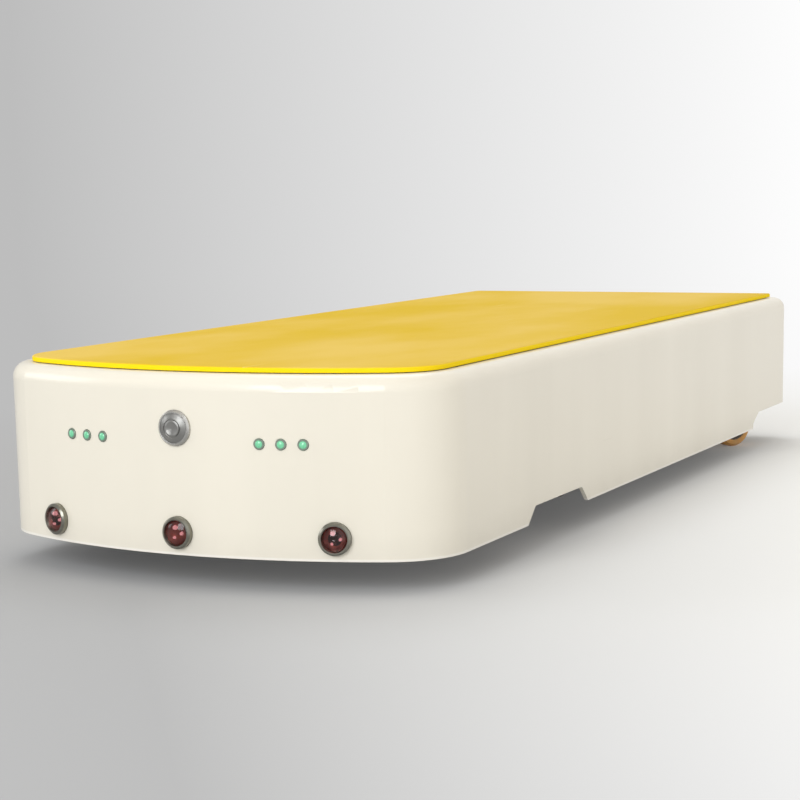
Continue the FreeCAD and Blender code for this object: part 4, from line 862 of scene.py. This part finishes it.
class ROBOT_OT_studio(bpy.types.Operator):
    """Build the floor, backdrop, lights and camera"""
    bl_idname = "robot.studio"
    bl_label = "Studio"

    def execute(self, context):
        studio = context.scene.robot_studio
        yaw, pitch, roll = studio.camera_yaw, studio.camera_pitch, studio.camera_roll
        forward = Vector((-math.sin(yaw) * math.cos(pitch), math.cos(yaw) * math.cos(pitch),
                          -math.sin(pitch)))
        level = Vector((math.cos(yaw), math.sin(yaw), 0))
        up = level.cross(forward)
        right = level * math.cos(roll) + up * math.sin(roll)
        top = up * math.cos(roll) - level * math.sin(roll)
        turn = Matrix((right, top, -forward)).transposed().to_4x4()
        data = bpy.data.cameras.new("Camera")
        data.lens = studio.lens
        data.sensor_width = 36.0
        camera = bpy.data.objects.new("Camera", data)
        camera.matrix_world = Matrix.Translation(studio.camera_place) @ turn
        context.scene.collection.objects.link(camera)
        context.scene.camera = camera
        self.build_sweep(context, yaw)
        self.build_lights(context, studio)
        context.scene.view_settings.view_transform = "Standard"
        return {"FINISHED"}

    def build_sweep(self, context, yaw):
        """Round floor that curves up into a backdrop on every side."""
        bm = bmesh.new()
        floor_r, curve_r, wall_top, steps, weld = 6.5, 2.5, 12.0, 12, 1e-5
        points = [(0.0, 0.0), (1.0, 0.0), (3.0, 0.0), (floor_r, 0.0)]
        for k in range(1, steps + 1):
            turn = k * math.pi / (2 * steps)
            points.append((floor_r + curve_r * math.sin(turn), curve_r - curve_r * math.cos(turn)))
        points.append((floor_r + curve_r, wall_top))
        verts = [bm.verts.new((radius, 0, high)) for radius, high in points]
        edges = [bm.edges.new(pair) for pair in zip(verts, verts[1:])]
        bmesh.ops.spin(bm, geom=verts + edges, cent=(0, 0, 0), axis=UP, angle=2 * math.pi, steps=96,
                       use_merge=True)
        bmesh.ops.remove_doubles(bm, verts=bm.verts, dist=weld)
        bmesh.ops.recalc_face_normals(bm, faces=bm.faces)
        if sum(face.normal.z for face in bm.faces) < 0:
            bmesh.ops.reverse_faces(bm, faces=bm.faces)
        mesh = bpy.data.meshes.new("Studio Sweep")
        bm.to_mesh(mesh)
        bm.free()
        mesh.shade_smooth()
        sweep = bpy.data.objects.new("Studio_Sweep", mesh)
        context.scene.collection.objects.link(sweep)
        mesh.materials.append(self.paper(yaw))

    def paper(self, yaw):
        """Pale paper, greyer on the left, that keeps the robot's shadow."""
        shaded, lit = (0.45, 0.46, 0.48, 1), (0.97, 0.985, 1.0, 1)
        shaded_glow, lit_glow = (0.51, 0.51, 0.51, 1), (1.0, 1.0, 1.0, 1)
        camera_depth, least_square, middle, steepness = 2.83, 0.5, 0.08, 2.4
        shadow_shape, shadow_r, fade, least_glow, open_r = (1.0, 0.7, 0.7), 0.62, 0.75, 0.12, 4.0
        material = bpy.data.materials.new("Studio Paper")
        material.use_nodes = True
        tree = material.node_tree
        shader = tree.nodes["Principled BSDF"]
        shader.inputs["Roughness"].default_value = 0.9
        shader.inputs["Specular IOR Level"].default_value = 0.0
        where = tree.nodes.new("ShaderNodeTexCoord").outputs["Object"]
        across = self.along(tree, where, (math.cos(yaw), math.sin(yaw), 0))
        deep = self.along(tree, where, (-math.sin(yaw), math.cos(yaw), 0))
        deep = math_node(tree, "ADD", deep, camera_depth)
        square = math_node(tree, "ADD", math_node(tree, "MULTIPLY", deep, deep), least_square)
        aside = math_node(tree, "SUBTRACT", across, middle)
        fan = math_node(tree, "DIVIDE", aside, math_node(tree, "SQRT", square))
        share = math_node(tree, "ADD", math_node(tree, "MULTIPLY", fan, steepness), 0.5, clamp=True)
        tree.links.new(mix_colour(tree, share, shaded, lit), shader.inputs["Base Color"])
        glow = tree.nodes.new("ShaderNodeEmission")
        tree.links.new(mix_colour(tree, share, shaded_glow, lit_glow), glow.inputs["Color"])
        flat = tree.nodes.new("ShaderNodeVectorMath")
        flat.operation = "LENGTH"
        tree.links.new(stretched(tree, where, shadow_shape), flat.inputs[0])
        outside = math_node(tree, "SUBTRACT", flat.outputs["Value"], shadow_r)
        far = math_node(tree, "DIVIDE", outside, fade, clamp=True)
        far = math_node(tree, "MAXIMUM", far, least_glow)
        rays = tree.nodes.new("ShaderNodeLightPath")
        seen = math_node(tree, "MAXIMUM", rays.outputs["Is Camera Ray"],
                         math_node(tree, "MAXIMUM", rays.outputs["Is Glossy Ray"],
                                   rays.outputs["Is Transmission Ray"]))
        mixed = tree.nodes.new("ShaderNodeMixShader")
        tree.links.new(math_node(tree, "MULTIPLY", seen, far), mixed.inputs[0])
        tree.links.new(shader.outputs[0], mixed.inputs[1])
        tree.links.new(glow.outputs[0], mixed.inputs[2])
        open_air = tree.nodes.new("ShaderNodeBsdfTransparent")
        outer = tree.nodes.new("ShaderNodeMixShader")
        beyond = math_node(tree, "GREATER_THAN", flat.outputs["Value"], open_r)
        unseen = math_node(tree, "SUBTRACT", 1.0, seen)
        tree.links.new(math_node(tree, "MULTIPLY", beyond, unseen), outer.inputs[0])
        tree.links.new(mixed.outputs[0], outer.inputs[1])
        tree.links.new(open_air.outputs[0], outer.inputs[2])
        tree.links.new(outer.outputs[0], tree.nodes["Material Output"].inputs["Surface"])
        return material

    def along(self, tree, where, direction):
        """How far a point lies along a direction."""
        node = tree.nodes.new("ShaderNodeVectorMath")
        node.operation = "DOT_PRODUCT"
        tree.links.new(where, node.inputs[0])
        node.inputs[1].default_value = direction
        return node.outputs["Value"]

    def build_lights(self, context, studio):
        """Even room light and three soft lamps, in front, on the robot's right and above."""
        warm_white, cool_white, target = (0.985, 0.94, 0.862, 1), (0.965, 0.985, 1.0), Vector((0, 0, 0.1))
        world = bpy.data.worlds.new("Room")
        world.use_nodes = True
        background = world.node_tree.nodes["Background"]
        background.inputs["Color"].default_value = warm_white
        background.inputs["Strength"].default_value = studio.sky
        context.scene.world = world
        for name, power, size, place in (("Key", studio.key_power, 1.8, (0.15, -3.6, 1.5)),
                                         ("Side", studio.side_power, 1.4, (-3.2, -1.6, 1.2)),
                                         ("Top", studio.top_power, 1.8, (-0.7, 1.2, 3.2))):
            data = bpy.data.lights.new(name, "AREA")
            data.energy = power
            data.color = cool_white
            data.size = size
            lamp = bpy.data.objects.new(name, data)
            turn = (target - Vector(place)).to_track_quat("-Z", "Y").to_matrix().to_4x4()
            lamp.matrix_world = Matrix.Translation(place) @ turn
            context.scene.collection.objects.link(lamp)


class ROBOT_PT_panel(bpy.types.Panel):
    """Lists the steps that dress the robot"""
    bl_idname = "ROBOT_PT_panel"
    bl_label = "Lifting Deck Robot"
    bl_space_type = "VIEW_3D"
    bl_region_type = "UI"
    bl_category = "Robot"

    def draw(self, context):
        layout = self.layout
        for group in (context.scene.robot_paint, context.scene.robot_studio):
            box = layout.box()
            for key in group.__annotations__:
                box.prop(group, key)
        for operator in OPERATORS:
            layout.operator(operator.bl_idname)


PROPERTIES = (RobotPaint, RobotStudio)
OPERATORS = (ROBOT_OT_body, ROBOT_OT_ribs, ROBOT_OT_chassis, ROBOT_OT_running_gear,
             ROBOT_OT_fittings, ROBOT_OT_optics, ROBOT_OT_fasteners, ROBOT_OT_treads,
             ROBOT_OT_studio)


def register():
    """Registers the properties, operators and panel."""
    for cls in PROPERTIES + OPERATORS + (ROBOT_PT_panel,):
        bpy.utils.register_class(cls)
    bpy.types.Scene.robot_paint = bpy.props.PointerProperty(type=RobotPaint)
    bpy.types.Scene.robot_studio = bpy.props.PointerProperty(type=RobotStudio)


def unregister():
    """Removes what register added."""
    del bpy.types.Scene.robot_studio
    del bpy.types.Scene.robot_paint
    for cls in reversed(PROPERTIES + OPERATORS + (ROBOT_PT_panel,)):
        bpy.utils.unregister_class(cls)


def main():
    """Runs every step."""
    register()
    bpy.ops.robot.body()
    bpy.ops.robot.ribs()
    bpy.ops.robot.chassis()
    bpy.ops.robot.running_gear()
    bpy.ops.robot.fittings()
    bpy.ops.robot.optics()
    bpy.ops.robot.fasteners()
    bpy.ops.robot.treads()
    bpy.ops.robot.studio()


if __name__ == "__main__":
    main()
